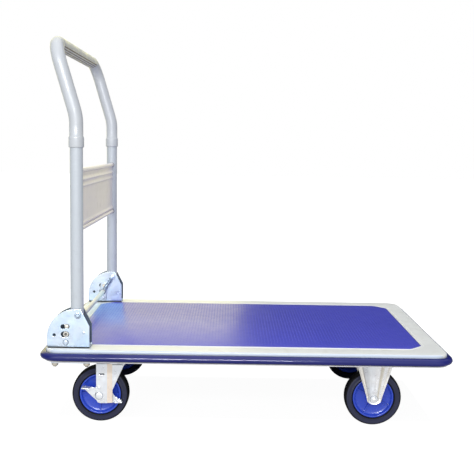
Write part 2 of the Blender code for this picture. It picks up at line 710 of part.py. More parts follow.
def leg_section(centre, plate_low, plate_high, plate_half):
    """Two legs under a plate, seen along X."""
    inner, outer = LEG_INNER, LEG_INNER + LEG_SHEET
    half = [(inner, plate_low), (inner, LEG_BLANK_LOW), (outer, LEG_BLANK_LOW)]
    if plate_half > outer:
        half += [(outer, plate_low), (plate_half, plate_low), (plate_half, plate_high)]
    else:
        half += [(outer, plate_high)]
    return [(centre + u, v) for u, v in half] + [(centre - u, v) for u, v in half[::-1]]


def build_fixed_fork(side, name):
    centre = side * TRACK_Y
    section = leg_section(centre, PLATE_TOP - PLATE_SHEET, PLATE_TOP, PLATE_HALF_Y)
    fork = extrude(section, "X", FIXED_X - PLATE_HALF_X, FIXED_X + PLATE_HALF_X)
    foot = arc((0.0, WHEEL_RADIUS), FIXED_FOOT_RADIUS, 0.0, -180.0, 8)
    foot = [(x * FIXED_FOOT_STRETCH, z) for x, z in foot]
    outline = list(FIXED_LEG_EDGE) + foot + [(-x, z) for x, z in FIXED_LEG_EDGE[::-1]]
    outline = [(FIXED_X + x, z) for x, z in outline]
    hole = circle((FIXED_X, WHEEL_RADIUS), AXLE_RADIUS + GAP, PIN_STEPS)
    shape = extrude(outline, "Y", centre - 60 * MM, centre + 60 * MM, [hole])
    add_node(name, combine(fork, shape, "INTERSECT"), ZINC)


def build_swivel_fork(side, name, body):
    centre = side * TRACK_Y
    section = leg_section(centre, CROWN_TOP - LEG_SHEET, CROWN_TOP, 0.0)
    outline = [(SWIVEL_AXLE_X + x, z) for x, z in SWIVEL_LEG_OUTLINE]
    fork = extrude(section, "X", outline[0][0] - 10 * MM, outline[-1][0] + 10 * MM)
    hole = circle((SWIVEL_AXLE_X, WHEEL_RADIUS), AXLE_RADIUS + GAP, PIN_STEPS)
    shape = extrude(outline, "Y", centre - 40 * MM, centre + 40 * MM, [hole])
    combine(fork, shape, "INTERSECT")
    race = [(RACE_INNER, CROWN_TOP - MM), (RACE_OUTER, CROWN_TOP - MM), (RACE_OUTER, RACE_TOP),
            (RACE_INNER, RACE_TOP)]
    combine(fork, turn(race, "Z", (KINGPIN_X, centre), 20, bored=True), "UNION")
    bore = KINGPIN_RADIUS + 0.6 * MM
    drill(fork, "Z", (KINGPIN_X, centre), bore, CROWN_TOP - 10 * MM, CROWN_TOP + 5 * MM)
    add_node(name, fork, ZINC, body)


def build_swivel_plate(side, suffix):
    centre = (KINGPIN_X, side * TRACK_Y)
    bottom = PLATE_TOP - PLATE_SHEET
    plate = extrude(rectangle(PLATE_HALF_X, PLATE_HALF_Y, centre), "Z", bottom, PLATE_TOP)
    combine(plate, turn([(CUP_OUTER, CUP_LOW), (CUP_OUTER, bottom + MM)], "Z", centre, 20), "UNION")
    drill(plate, "Z", centre, KINGPIN_RADIUS + GAP, CUP_LOW - MM, PLATE_TOP + MM)
    add_node("swivel_plate_" + suffix, plate, ZINC)
    kingpin = [(KINGPIN_HEAD_RADIUS, KINGPIN_HEAD_LOW), (KINGPIN_HEAD_RADIUS, KINGPIN_HEAD_HIGH),
               (KINGPIN_RADIUS, KINGPIN_HEAD_HIGH), (KINGPIN_RADIUS, PLATE_TOP - GAP)]
    add_node("kingpin_" + suffix, turn(kingpin, "Z", centre, PIN_STEPS), STEEL)


def build_axle(x, side, head_radius, name, body):
    outer = LEG_INNER + LEG_SHEET + GAP
    half = [(AXLE_RADIUS, outer), (head_radius, outer), (head_radius, outer + 0.7 * AXLE_HEAD_HEIGHT),
            (0.6 * head_radius, outer + AXLE_HEAD_HEIGHT)]
    centre = side * TRACK_Y
    profile = [(r, centre - y) for r, y in half[::-1]] + [(r, centre + y) for r, y in half]
    add_node(name, turn(profile, "Y", (x, WHEEL_RADIUS), PIN_STEPS), STEEL, body)


def build_wheel(x, side, suffix, body):
    """A rubber tyre, a plastic hub and a bush that spin on the axle."""
    centre = side * TRACK_Y
    axis = (x, WHEEL_RADIUS)

    def ring(name, half, steps, finish):
        profile = [(r, centre - y) for r, y in half] + [(r, centre + y) for r, y in half[::-1]]
        add_node(name + suffix, turn(profile, "Y", axis, steps, bored=True), finish, body)

    width = WHEEL_HALF_WIDTH
    ring("tyre_", [(TYRE_SEAT + GAP, width - MM), (WHEEL_RADIUS - 8 * MM, width),
                   (WHEEL_RADIUS - 2 * MM, width - 4 * MM), (WHEEL_RADIUS, 5 * MM)], WHEEL_STEPS, BLACK_RUBBER)
    ring("hub_", [(BUSH_RADIUS + GAP, HUB_BOSS_HALF), (HUB_BOSS_RADIUS, HUB_BOSS_HALF),
                  (HUB_BOSS_RADIUS + MM, HUB_WEB_HALF), (HUB_RIM_INNER, HUB_RIM_HALF),
                  (TYRE_SEAT, HUB_RIM_HALF)], WHEEL_STEPS, BLUE_PLASTIC)
    ring("bush_", [(AXLE_RADIUS + GAP, BUSH_HALF), (BUSH_RADIUS, BUSH_HALF)], PIN_STEPS, NYLON)


def build_pedal(side, name, body):
    """A rocker plate between the wheel and the leg, with a tread at each end and a cam ring."""
    centre = side * TRACK_Y
    face = centre - PEDAL_FACE
    back = face + PEDAL_SHEET
    outline = [(SWIVEL_AXLE_X + x, z) for x, z in PEDAL_OUTLINE]
    hole = circle((SWIVEL_AXLE_X, WHEEL_RADIUS), BUSH_RADIUS + 0.7 * MM, PIN_STEPS)
    pedal = extrude(outline, "Y", face, back, [hole])
    for tread in PEDAL_TREADS:
        section = [(SWIVEL_AXLE_X + x, z) for x, z in tread]
        combine(pedal, extrude(section, "Y", centre - PEDAL_TREAD_REACH, back - MM), "UNION")
    bore = BUSH_RADIUS + 1.1 * MM
    cam = [(bore, back - MM), (PEDAL_CAM_RADIUS, back - MM), (PEDAL_CAM_RADIUS, back + PEDAL_CAM_HEIGHT),
           (bore, back + PEDAL_CAM_HEIGHT)]
    combine(pedal, turn(cam, "Y", (SWIVEL_AXLE_X, WHEEL_RADIUS), PIN_STEPS, bored=True), "UNION")
    add_node(name, pedal, ZINC, body, smooth=False)


# ---------------------------------------------------------------- assembly

def build_all():
    clear_scene()
    add_body("handle", (POST_X, 0.0, PIVOT_Z))
    add_body("release", (LEVER_PIVOT[0], 0.0, LEVER_PIVOT[1]))
    sides = ((-1, "right"), (1, "left"))
    for side, suffix in sides:
        y = side * TRACK_Y
        add_body("swivel_" + suffix, (KINGPIN_X, y, CROWN_TOP))
        add_body("swivel_wheel_" + suffix, (SWIVEL_AXLE_X, y, WHEEL_RADIUS), "swivel_" + suffix)
        add_body("brake_" + suffix, (SWIVEL_AXLE_X, y, WHEEL_RADIUS), "swivel_" + suffix)
        add_body("fixed_wheel_" + suffix, (FIXED_X, y, WHEEL_RADIUS))

    build_deck()
    build_channels()
    for side, suffix in sides:
        build_bracket(side, suffix)
        build_bolt(side, BOLT_X[0], "bracket_bolt_outer_" + suffix)
        build_bolt(side, BOLT_X[1], "bracket_bolt_inner_" + suffix)
        build_spring(side, "release_spring_" + suffix)
        build_lug(side, "lock_lug_" + suffix)
    build_handle()
    build_panel()
    build_release()
    for side, suffix in sides:
        build_fixed_fork(side, "fixed_fork_" + suffix)
        build_axle(FIXED_X, side, FIXED_AXLE_HEAD_RADIUS, "fixed_axle_" + suffix, None)
        build_wheel(FIXED_X, side, "fixed_" + suffix, "fixed_wheel_" + suffix)
        build_swivel_plate(side, suffix)
        body = "swivel_" + suffix
        build_swivel_fork(side, "swivel_fork_" + suffix, body)
        build_axle(SWIVEL_AXLE_X, side, SWIVEL_AXLE_HEAD_RADIUS, "swivel_axle_" + suffix, body)
        build_wheel(SWIVEL_AXLE_X, side, body, "swivel_wheel_" + suffix)
        build_pedal(side, "brake_pedal_" + suffix, "brake_" + suffix)


build_all()
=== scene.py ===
"""Looks of the folding-handle platform trolley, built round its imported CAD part.

Metres, +Z up, in the part's own frame.  Main sizes and places are read from the frame's boxes and
joints.  Detail sizes are named below, or stand in millimetres in the profile of the piece they
shape.  Heights in profiles are above the floor.  "right" is the -Y side and "left" the +Y side.
"""

import json
import math

import bmesh
import bpy
from mathutils import Matrix, Vector
from mathutils.geometry import tessellate_polygon


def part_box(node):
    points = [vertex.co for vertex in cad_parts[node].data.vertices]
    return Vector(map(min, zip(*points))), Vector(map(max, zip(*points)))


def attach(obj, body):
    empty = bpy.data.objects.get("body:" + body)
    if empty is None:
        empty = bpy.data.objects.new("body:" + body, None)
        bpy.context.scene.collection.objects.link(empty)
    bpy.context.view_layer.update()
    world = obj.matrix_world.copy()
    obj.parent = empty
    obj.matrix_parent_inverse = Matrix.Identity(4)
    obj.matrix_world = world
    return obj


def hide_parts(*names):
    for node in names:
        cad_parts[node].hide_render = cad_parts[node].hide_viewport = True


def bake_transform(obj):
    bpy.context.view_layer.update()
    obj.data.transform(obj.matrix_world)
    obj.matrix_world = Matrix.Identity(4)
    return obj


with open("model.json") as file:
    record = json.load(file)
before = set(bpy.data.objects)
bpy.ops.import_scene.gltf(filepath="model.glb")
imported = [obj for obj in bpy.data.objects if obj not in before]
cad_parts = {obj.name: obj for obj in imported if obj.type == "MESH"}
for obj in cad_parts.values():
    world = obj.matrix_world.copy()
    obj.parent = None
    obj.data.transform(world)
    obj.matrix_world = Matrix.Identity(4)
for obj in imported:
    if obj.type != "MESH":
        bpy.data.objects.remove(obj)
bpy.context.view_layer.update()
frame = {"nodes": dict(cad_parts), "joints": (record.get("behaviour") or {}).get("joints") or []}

MM = 0.001
SIDES = ((-1, "right"), (1, "left"))
QUADRANTS = ((1, 1), (-1, 1), (-1, -1), (1, -1))
GAP = 0.3 * MM


def joint_point(name):
    """Where a joint's axis passes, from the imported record."""
    return Vector(next(joint["pos_m"] for joint in frame["joints"] if joint["name"] == name))


def middle_xz(low, high):
    return ((low.x + high.x) / 2, (low.z + high.z) / 2)


# ---------------------------------------------------------------- sizes from the frame

PIVOT = joint_point("handle_fold")
LEVER_PIVOT = joint_point("release_swing")
KINGPIN = joint_point("castor_turn_left")
SWIVEL_AXLE = joint_point("swivel_wheel_spin_left")
FIXED_AXLE = joint_point("fixed_wheel_spin_left")
TRACK_Y = FIXED_AXLE.y
WHEEL_RADIUS = FIXED_AXLE.z

PAN_LOW, PAN_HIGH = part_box("deck_plate")
MAT_LOW, MAT_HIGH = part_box("deck_mat")
BUMPER_LOW, BUMPER_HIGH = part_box("edge_bumper")
BRACKET_LOW, BRACKET_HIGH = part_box("hinge_bracket_left")
TUBE_LOW, TUBE_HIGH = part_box("handle_tube")
SLEEVE_LOW, SLEEVE_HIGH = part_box("grip_sleeve")
PANEL_LOW, PANEL_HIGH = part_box("cross_panel")
BAR_LOW, BAR_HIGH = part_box("release_bar")
LOCK_LOW, LOCK_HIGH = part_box("lock_pin_left")
STUD_LOW, STUD_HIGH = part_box("spring_stud_left")
LEVER_LOW, LEVER_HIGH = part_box("release_lever_left")
LEVER_PIN_LOW, LEVER_PIN_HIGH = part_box("lever_pivot_pin_left")
PIN_LOW, PIN_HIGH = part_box("handle_pivot_pin_left")
LUG_LOW, LUG_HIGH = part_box("lock_lug_left")
PLATE_LOW, PLATE_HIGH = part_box("swivel_plate_left")
FORK_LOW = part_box("swivel_fork_left")[0]
FIXED_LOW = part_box("fixed_fork_left")[0]
TYRE_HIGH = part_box("tyre_fixed_left")[1]
HUB_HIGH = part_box("hub_fixed_left")[1]
BUSH_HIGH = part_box("bush_fixed_left")[1]
PEDAL_LOW, PEDAL_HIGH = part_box("brake_pedal_right")
KING_LOW, KING_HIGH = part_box("kingpin_left")

DECK_TOP = PAN_HIGH.z
POST_X = PIVOT.x
POST_Y = (PIN_LOW.y + PIN_HIGH.y) / 2
TUBE_RADIUS = TUBE_HIGH.y - POST_Y
CROSSBAR_X = TUBE_LOW.x + TUBE_RADIUS
CROSSBAR_Z = TUBE_HIGH.z - TUBE_RADIUS
SLEEVE_RADIUS = TUBE_RADIUS + 0.9 * MM
COLLAR_RADIUS = SLEEVE_HIGH.y - POST_Y - 0.5 * MM
LEVER_POINT = (LEVER_PIVOT.x, LEVER_PIVOT.z)
BAR_POINT = middle_xz(BAR_LOW, BAR_HIGH)
LOCK_POINT = middle_xz(LOCK_LOW, LOCK_HIGH)
STUD_POINT = middle_xz(STUD_LOW, STUD_HIGH)
CHEEK_OUTER = BRACKET_HIGH.y - POST_Y
LEG_INNER = HUB_HIGH.y - TRACK_Y + 6 * MM

# Detail sizes.
SHEET = 3 * MM
LEG_SHEET = 2.6 * MM
TUBE_WALL = 1.8 * MM
CHEEK_INNER = CHEEK_OUTER - SHEET
CHEEK_SHOULDER_Z = 0.241  # where the cheek's slope meets its front edge
DECK_CORNER = 32 * MM
SKIRT_LIP = 2.5 * MM
MAT_CUT = 31 * MM
MAT_CORNER_ROUND = 9 * MM
CORNER_STEPS = 11
TREAD_PITCH = 7.2 * MM
TREAD_HEIGHT = 0.31 * MM
BEND_Z = 0.694  # where the handle starts to lean back
BEND_RADIUS = 0.120
CORNER_RADIUS = 0.050
SPARE_HOLE = (BRACKET_LOW.x + 15.5 * MM, PIVOT.z + 5.5 * MM)
SPRING_Y = 233.2 * MM
SWING_DEG = 12.0
PLATE_BOLT = (41 * MM, 33 * MM)  # a castor plate's bolts, from its middle
AXLE_RADIUS_MM = 5.0
AXLE_INNER_MM = 23.0
TUBE_SIDES = 40
ROUND_STEPS = 28
WHEEL_STEPS = 72


# ---------------------------------------------------------------- outlines

def arc(centre, radius, start, end, steps):
    """Points on an arc from the start to the end angle, in degrees, both ends included."""
    points = []
    for i in range(steps + 1):
        angle = math.radians(start + (end - start) * i / steps)
        points.append((centre[0] + radius * math.cos(angle), centre[1] + radius * math.sin(angle)))
    return points


def circle(centre, radius, steps=ROUND_STEPS):
    return arc(centre, radius, 0.0, 360.0 * (steps - 1) / steps, steps - 1)


def mm(pairs):
    """Pairs of millimetres as pairs of metres."""
    return [(a * MM, b * MM) for a, b in pairs]


def mirrored(half, centre):
    """A (radius, place) profile on both sides of a middle: the mirror image first."""
    return [(r, centre - y) for r, y in half] + [(r, centre + y) for r, y in half[::-1]]


def rectangle(half_x, half_y, centre=(0.0, 0.0)):
    return [(centre[0] + sx * half_x, centre[1] + sy * half_y) for sx, sy in QUADRANTS]


def rounded(polygon, radius, steps):
    """A polygon whose corners are arcs of one radius."""
    points = []
    for i, corner in enumerate(polygon):
        corner = Vector(corner)
        back = (Vector(polygon[i - 1]) - corner).normalized()
        ahead = (Vector(polygon[(i + 1) % len(polygon)]) - corner).normalized()
        half = back.angle(ahead) / 2
        centre = corner + (back + ahead).normalized() * radius / math.sin(half)
        start = corner + back * radius / math.tan(half) - centre
        end = corner + ahead * radius / math.tan(half) - centre
        turn = math.pi - 2 * half
        for k in range(steps + 1):
            share = k / steps
            mix = start * math.sin((1 - share) * turn) + end * math.sin(share * turn)
            points.append(tuple(centre + mix / math.sin(turn)))
    return points


def cut_polygon(half_x, half_y, cut):
    """A rectangle with its corners cut off."""
    points = []
    for sx, sy in QUADRANTS:
        pair = [(sx * half_x, sy * (half_y - cut)), (sx * (half_x - cut), sy * half_y)]
        points += pair if sx * sy > 0 else pair[::-1]
    return points


def area(points):
    return sum(a[0] * b[1] - b[0] * a[1] for a, b in zip(points, points[1:] + points[:1])) / 2


def wound(points, anticlockwise):
    return list(points) if (area(points) > 0) == anticlockwise else list(points)[::-1]


def offset(points, distance):
    """A closed outline moved to its left by a distance, which is inwards for an anticlockwise one."""
    moved = []
    for i, point in enumerate(points):
        into = (Vector(point) - Vector(points[i - 1])).normalized()
        out = (Vector(points[(i + 1) % len(points)]) - Vector(point)).normalized()
        normal = Vector((-into.y - out.y, into.x + out.x)).normalized()
        lean = max(0.4, normal.dot(Vector((-into.y, into.x))))
        moved.append(tuple(Vector(point) + normal * distance / lean))
    return moved


def about(point, pivot, degrees):
    """The point turned anticlockwise about the pivot."""
    angle = math.radians(degrees)
    u, v = point[0] - pivot[0], point[1] - pivot[1]
    return (pivot[0] + u * math.cos(angle) - v * math.sin(angle),
            pivot[1] + u * math.sin(angle) + v * math.cos(angle))


def swing_slot(point, radius):
    """The outline swept by a round pin at the point as the release swings on its pivot."""
    pivot = LEVER_POINT
    margin = 1.5
    u, v = point[0] - pivot[0], point[1] - pivot[1]
    reach = math.hypot(u, v)
    low = math.degrees(math.atan2(v, u)) - margin
    high = low + SWING_DEG + 2 * margin
    first, last = about(point, pivot, -margin), about(point, pivot, SWING_DEG + margin)
    outer = arc(pivot, reach + radius, low, high, 5) + arc(last, radius, high, high + 180.0, 10)[1:-1]
    inner = arc(pivot, reach - radius, high, low, 5) + arc(first, radius, low + 180.0, low + 360.0, 10)[1:-1]
    return outer + inner


def stadium(start, end, radius, steps=14):
    angle = math.degrees(math.atan2(end[1] - start[1], end[0] - start[0]))
    return (arc(end, radius, angle - 90.0, angle + 90.0, steps)
            + arc(start, radius, angle + 90.0, angle + 270.0, steps))


def smooth(share):
    share = min(1.0, max(0.0, share))
    return share * share * (3 - 2 * share)


def between(value, table):
    """Straight-line interpolation in a table of (place, value) pairs with rising places."""
    for (a, fa), (b, fb) in zip(table, table[1:]):
        if value <= b:
            return fa + (fb - fa) * max(0.0, value - a) / (b - a)
    return table[-1][1]


# ---------------------------------------------------------------- mesh building

def place(axis, u, v, w):
    """A point from its place in an outline (u, v) and along the outline's axis (w)."""
    return {"X": (w, u, v), "Y": (u, w, v), "Z": (u, v, w)}[axis]


def bridge(bm, low, high):
    for i in range(len(low)):
        j = (i + 1) % len(low)
        bm.faces.new((low[i], low[j], high[j], high[i]))


def skin(bm, loops, ring=False):
    """Faces over loops of equally many points; a ring joins its last loop to its first."""
    rows = [[bm.verts.new(point) for point in loop] for loop in loops]
    for low, high in zip(rows, rows[1:]):
        bridge(bm, low, high)
    if ring:
        bridge(bm, rows[-1], rows[0])
    else:
        bm.faces.new(rows[0])
        bm.faces.new(rows[-1])


def plate(bm, outline, axis, low, high, holes=(), edge=0.45 * MM):
    """A flat sheet with holes whose edges are rounded over."""
    low, high = min(low, high), max(low, high)
    rings = [wound(outline, True)] + [wound(hole, False) for hole in holes]
    insets = ((edge, 0.0), (0.3 * edge, 0.3 * edge), (0.0, edge))
    stations = [(inset, low + depth) for inset, depth in insets]
    stations += [(inset, high - depth) for inset, depth in insets[::-1]]
    rows = []
    for inset, w in stations:
        rows.append([[bm.verts.new(place(axis, u, v, w)) for u, v in offset(ring, inset)] for ring in rings])
    flat = [[Vector((u, v, 0.0)) for u, v in offset(ring, edge)] for ring in rings]
    triangles = tessellate_polygon(flat)
    for row in (rows[0], rows[-1]):
        verts = [vert for ring in row for vert in ring]
        for triangle in triangles:
            bm.faces.new([verts[i] for i in triangle])
    for row, following in zip(rows, rows[1:]):
        for low_ring, high_ring in zip(row, following):
            bridge(bm, low_ring, high_ring)
    for ring in rows[0] + rows[-1]:
        for i, vert in enumerate(ring):
            bm.edges.get((vert, ring[i - 1])).smooth = False


def turned(bm, profile, axis, centre, steps=ROUND_STEPS, ring=False):
    """A round body: the profile holds (radius, place along the axis) pairs."""
    loops = []
    for radius, along in profile:
        loops.append([place(axis, u, v, along) for u, v in circle(centre, radius, steps)])
    skin(bm, loops, ring)


def bent_path(corners, radii, steps):
    """Points along straight runs whose inner corners are rounded to the given radii."""
    points = [Vector(corners[0])]
    for before, corner, after, radius in zip(corners, corners[1:], corners[2:], radii):
        before, corner, after = Vector(before), Vector(corner), Vector(after)
        into, out = (corner - before).normalized(), (after - corner).normalized()
        half = into.angle(out) / 2
        start = corner - into * radius * math.tan(half)
        centre = start + (out - into * into.dot(out)).normalized() * radius
        for i in range(steps + 1):
            rotation = Matrix.Rotation(2 * half * i / steps, 3, into.cross(out))
            points.append(centre + rotation @ (start - centre))
    points.append(Vector(corners[-1]))
    return points


def tube(bm, path, radii, inner=None, sides=TUBE_SIDES):
    """A round tube along a path, with one outer radius for each point, hollow if it has an inner radius."""
    along_x = abs((path[1] - path[0]).normalized().x) >= 0.9
    side = Vector((0.0, 1.0, 0.0) if along_x else (1.0, 0.0, 0.0))
    rings = []
    for i, point in enumerate(path):
        ahead = path[min(i + 1, len(path) - 1)] - point
        behind = point - path[max(i - 1, 0)]
        tangent = (ahead.normalized() + behind.normalized()).normalized()
        side = (side - tangent * side.dot(tangent)).normalized()
        rings.append((point, side.copy(), tangent.cross(side)))
    stations = list(zip(rings, radii))
    if inner:
        stations += [(ring, inner) for ring in rings[::-1]]
    loops = []
    for (point, u, v), radius in stations:
        loops.append([point + u * a + v * b for a, b in circle((0.0, 0.0), radius, sides)])
    skin(bm, loops, ring=bool(inner))


def finish_piece(name, bm, look, body, replaces=(), sharp=38.0):
    """Turn a bmesh into a shaded piece that rides on a body and stands for CAD nodes."""
    bmesh.ops.recalc_face_normals(bm, faces=bm.faces[:])
    for edge in bm.edges:
        if edge.is_manifold and edge.calc_face_angle() > math.radians(sharp):
            edge.smooth = False
    mesh = bpy.data.meshes.new(name)
    bm.to_mesh(mesh)
    bm.free()
    mesh.shade_smooth()
    mesh.materials.append(LOOK[look])
    piece = bpy.data.objects.new(name, mesh)
    bpy.context.scene.collection.objects.link(piece)
    if body:
        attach(piece, body)
    if replaces:
        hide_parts(*replaces)
    return piece


# ---------------------------------------------------------------- materials

def add_node(tree, kind, inputs=None, **settings):
    """A new shader node; each input is linked to a socket or set to a value."""
    node = tree.nodes.new("ShaderNode" + kind)
    for name, value in settings.items():
        setattr(node, name, value)
    for key, value in (inputs or {}).items():
        if isinstance(value, bpy.types.NodeSocket):
            tree.links.new(value, node.inputs[key])
        else:
            node.inputs[key].default_value = value
    return node


def map_range(tree, value, low, high, to_low, to_high, **settings):
    inputs = {"Value": value, "From Min": low, "From Max": high, "To Min": to_low, "To Max": to_high}
    return add_node(tree, "MapRange", inputs, **settings).outputs["Result"]


def scaled(colour, share):
    return tuple(share * channel for channel in colour)


class Finish:
    """One procedural material: a Principled shader fed by object-space textures."""

    def __init__(self, name, colour, roughness, metallic=0.0, **sockets):
        self.material = bpy.data.materials.new(name)
        self.material.use_nodes = True
        self.tree = self.material.node_tree
        self.inputs = self.tree.nodes["Principled BSDF"].inputs
        self.colour = (*colour, 1.0)
        values = {"Base Color": self.colour, "Roughness": roughness, "Metallic": metallic, **sockets}
        for socket, value in values.items():
            self.inputs[socket.replace("_", " ")].default_value = value
        self.where = self.add("TexCoord").outputs["Object"]

    def add(self, kind, inputs=None, **settings):
        return add_node(self.tree, kind, inputs, **settings)

    def remap(self, value, low, high, to_low, to_high):
        return map_range(self.tree, value, low, high, to_low, to_high)

    def noise(self, scale, detail=4.0, stretch=None):
        """Fractal noise; the scale counts features in a metre."""
        source = self.where
        if stretch:
            source = self.add("Mapping", {"Scale": stretch, "Vector": source}).outputs["Vector"]
        return self.add("TexNoise", {"Scale": scale, "Detail": detail, "Vector": source}).outputs["Fac"]

    def cover(self, share, colour, blend="MIX"):
        """Mix a colour over what is there by a share that may vary over the surface."""
        inputs = {"A": self.colour, "B": colour, "Factor": share}
        self.colour = self.add("Mix", inputs, data_type="RGBA", blend_type=blend).outputs["Result"]
        self.tree.links.new(self.colour, self.inputs["Base Color"])
        return self

    def tint(self, share, colour):
        return self.cover(share, (*colour, 1.0))

    def vary_roughness(self, value, low, high):
        self.tree.links.new(self.remap(value, 0.3, 0.7, low, high), self.inputs["Roughness"])
        return self

    def bump(self, height, strength, distance):
        node = self.add("Bump", {"Height": height, "Strength": strength, "Distance": distance})
        self.tree.links.new(node.outputs["Normal"], self.inputs["Normal"])
        return self

    def crease_shade(self, distance, colour, amount):
        """Painted shade where surfaces meet, darker the more enclosed a point is, in the given tint."""
        enclosed = self.add("AmbientOcclusion", {"Distance": distance}, samples=12)
        return self.tint(self.remap(enclosed.outputs["AO"], 0.25, 0.80, amount, 0.0), colour)

    def shading_bands(self, centre, spread, stops):
        """Painted light and shade across a tapering face: stops of (place, colour) from one edge, 0, to the
        other, 1.
        """
        split = self.add("SeparateXYZ", {"Vector": self.where})
        low, high = spread
        half = self.remap(split.outputs["Z"], low[0], high[0], low[1], high[1])
        along = self.remap(split.outputs["X"], centre - 1.0, centre + 1.0, -0.5, 0.5)
        across = self.add("Math", {0: along, 1: half}, operation="DIVIDE").outputs["Value"]
        ramp = self.add("ValToRGB", {"Fac": self.remap(across, -0.5, 0.5, 0.0, 1.0)})
        elements = ramp.color_ramp.elements
        elements.remove(elements[1])
        elements[0].position, elements[0].color = stops[0][0], (*stops[0][1], 1.0)
        for place, colour in stops[1:]:
            elements.new(place).color = (*colour, 1.0)
        return self.cover(1.0, ramp.outputs["Color"], "MULTIPLY")

    def scuffs(self, scale, colour, amount):
        """Sparse worn or soiled patches."""
        return self.tint(self.remap(self.noise(scale, 8.0), 0.58, 0.72, 0.0, amount), colour)


def paint(name, colour, roughness, dirt_and_shade, peel=0.25):
    """Powder coat: orange peel, slight cloudiness, a few scuffs and painted shade in creases."""
    finish = Finish(name, colour, roughness, Coat_Weight=0.12, Coat_Roughness=0.18)
    finish.tint(finish.remap(finish.noise(7.0), 0.35, 0.75, 0.0, 0.6), scaled(colour, 0.90))
    finish.scuffs(38.0, dirt_and_shade, 0.30)
    # Painted shade: creases darkened towards a dark copy of the dirt colour.
    finish.crease_shade(0.006, scaled(dirt_and_shade, 0.30), 0.75)
    finish.vary_roughness(finish.noise(60.0), roughness - 0.06, roughness + 0.10)
    return finish.bump(finish.noise(650.0, 2.0), peel, 0.0002)


def vinyl(name, colour, roughness, cloud, grain=900.0, patches=1.0, specular=0.5):
    """Moulded vinyl or rubber: fine grain, cloudy tone and dull patches."""
    finish = Finish(name, colour, roughness, Specular_IOR_Level=specular)
    finish.tint(finish.remap(finish.noise(9.0), 0.35, 0.7, 0.0, 0.55), cloud)
    finish.vary_roughness(finish.noise(45.0), roughness - 0.07 * patches, roughness + 0.10 * patches)
    return finish.bump(finish.noise(grain, 3.0), 0.22 * patches, 0.00015)


def plated(name, colour, roughness, cool, warm, metallic=0.85, wear=0.22):
    """Zinc plate: cool and warm passivation clouds, fine scratches, dull spots and painted shade in creases.
    """
    finish = Finish(name, colour, roughness, metallic)
    finish.tint(finish.remap(finish.noise(28.0), 0.40, 0.68, 0.0, 0.75), cool)
    finish.tint(finish.remap(finish.noise(17.0, 6.0), 0.55, 0.75, 0.0, 0.50), warm)
    finish.scuffs(120.0, scaled(colour, 0.55), wear)
    # Painted shade: creases darkened towards a dark copy of the zinc.
    finish.crease_shade(0.005, scaled(colour, 0.10), 0.85)
    finish.vary_roughness(finish.noise(85.0, 6.0), roughness - 0.08, roughness + 0.14)
    return finish.bump(finish.noise(420.0, 4.0, (1.0, 1.0, 0.12)), 0.12, 0.0001)


# Painted highlights, shade and warm reflections across a fixed castor's pressed leg, from its left edge to
# its right edge.
FORK_SHADING = ((0.00, (1.00, 0.96, 0.88)), (0.11, (1.00, 0.95, 0.87)), (0.13, (0.38, 0.36, 0.34)),
              (0.16, (0.66, 0.67, 0.69)), (0.26, (0.72, 0.74, 0.77)), (0.33, (0.92, 0.94, 0.96)),
              (0.50, (0.94, 0.95, 0.97)), (0.56, (1.00, 1.00, 1.00)), (0.66, (1.00, 1.00, 1.00)),
              (0.70, (0.76, 0.71, 0.60)), (0.76, (0.80, 0.75, 0.65)), (0.81, (1.00, 1.00, 1.00)),
              (0.88, (1.00, 0.99, 0.97)), (0.92, (0.84, 0.79, 0.70)), (1.00, (0.95, 0.93, 0.90)))
# Half the leg's width at two heights, for the painted shading.
FORK_SPREAD = ((0.072, 18 * MM), (0.138, 38.5 * MM))

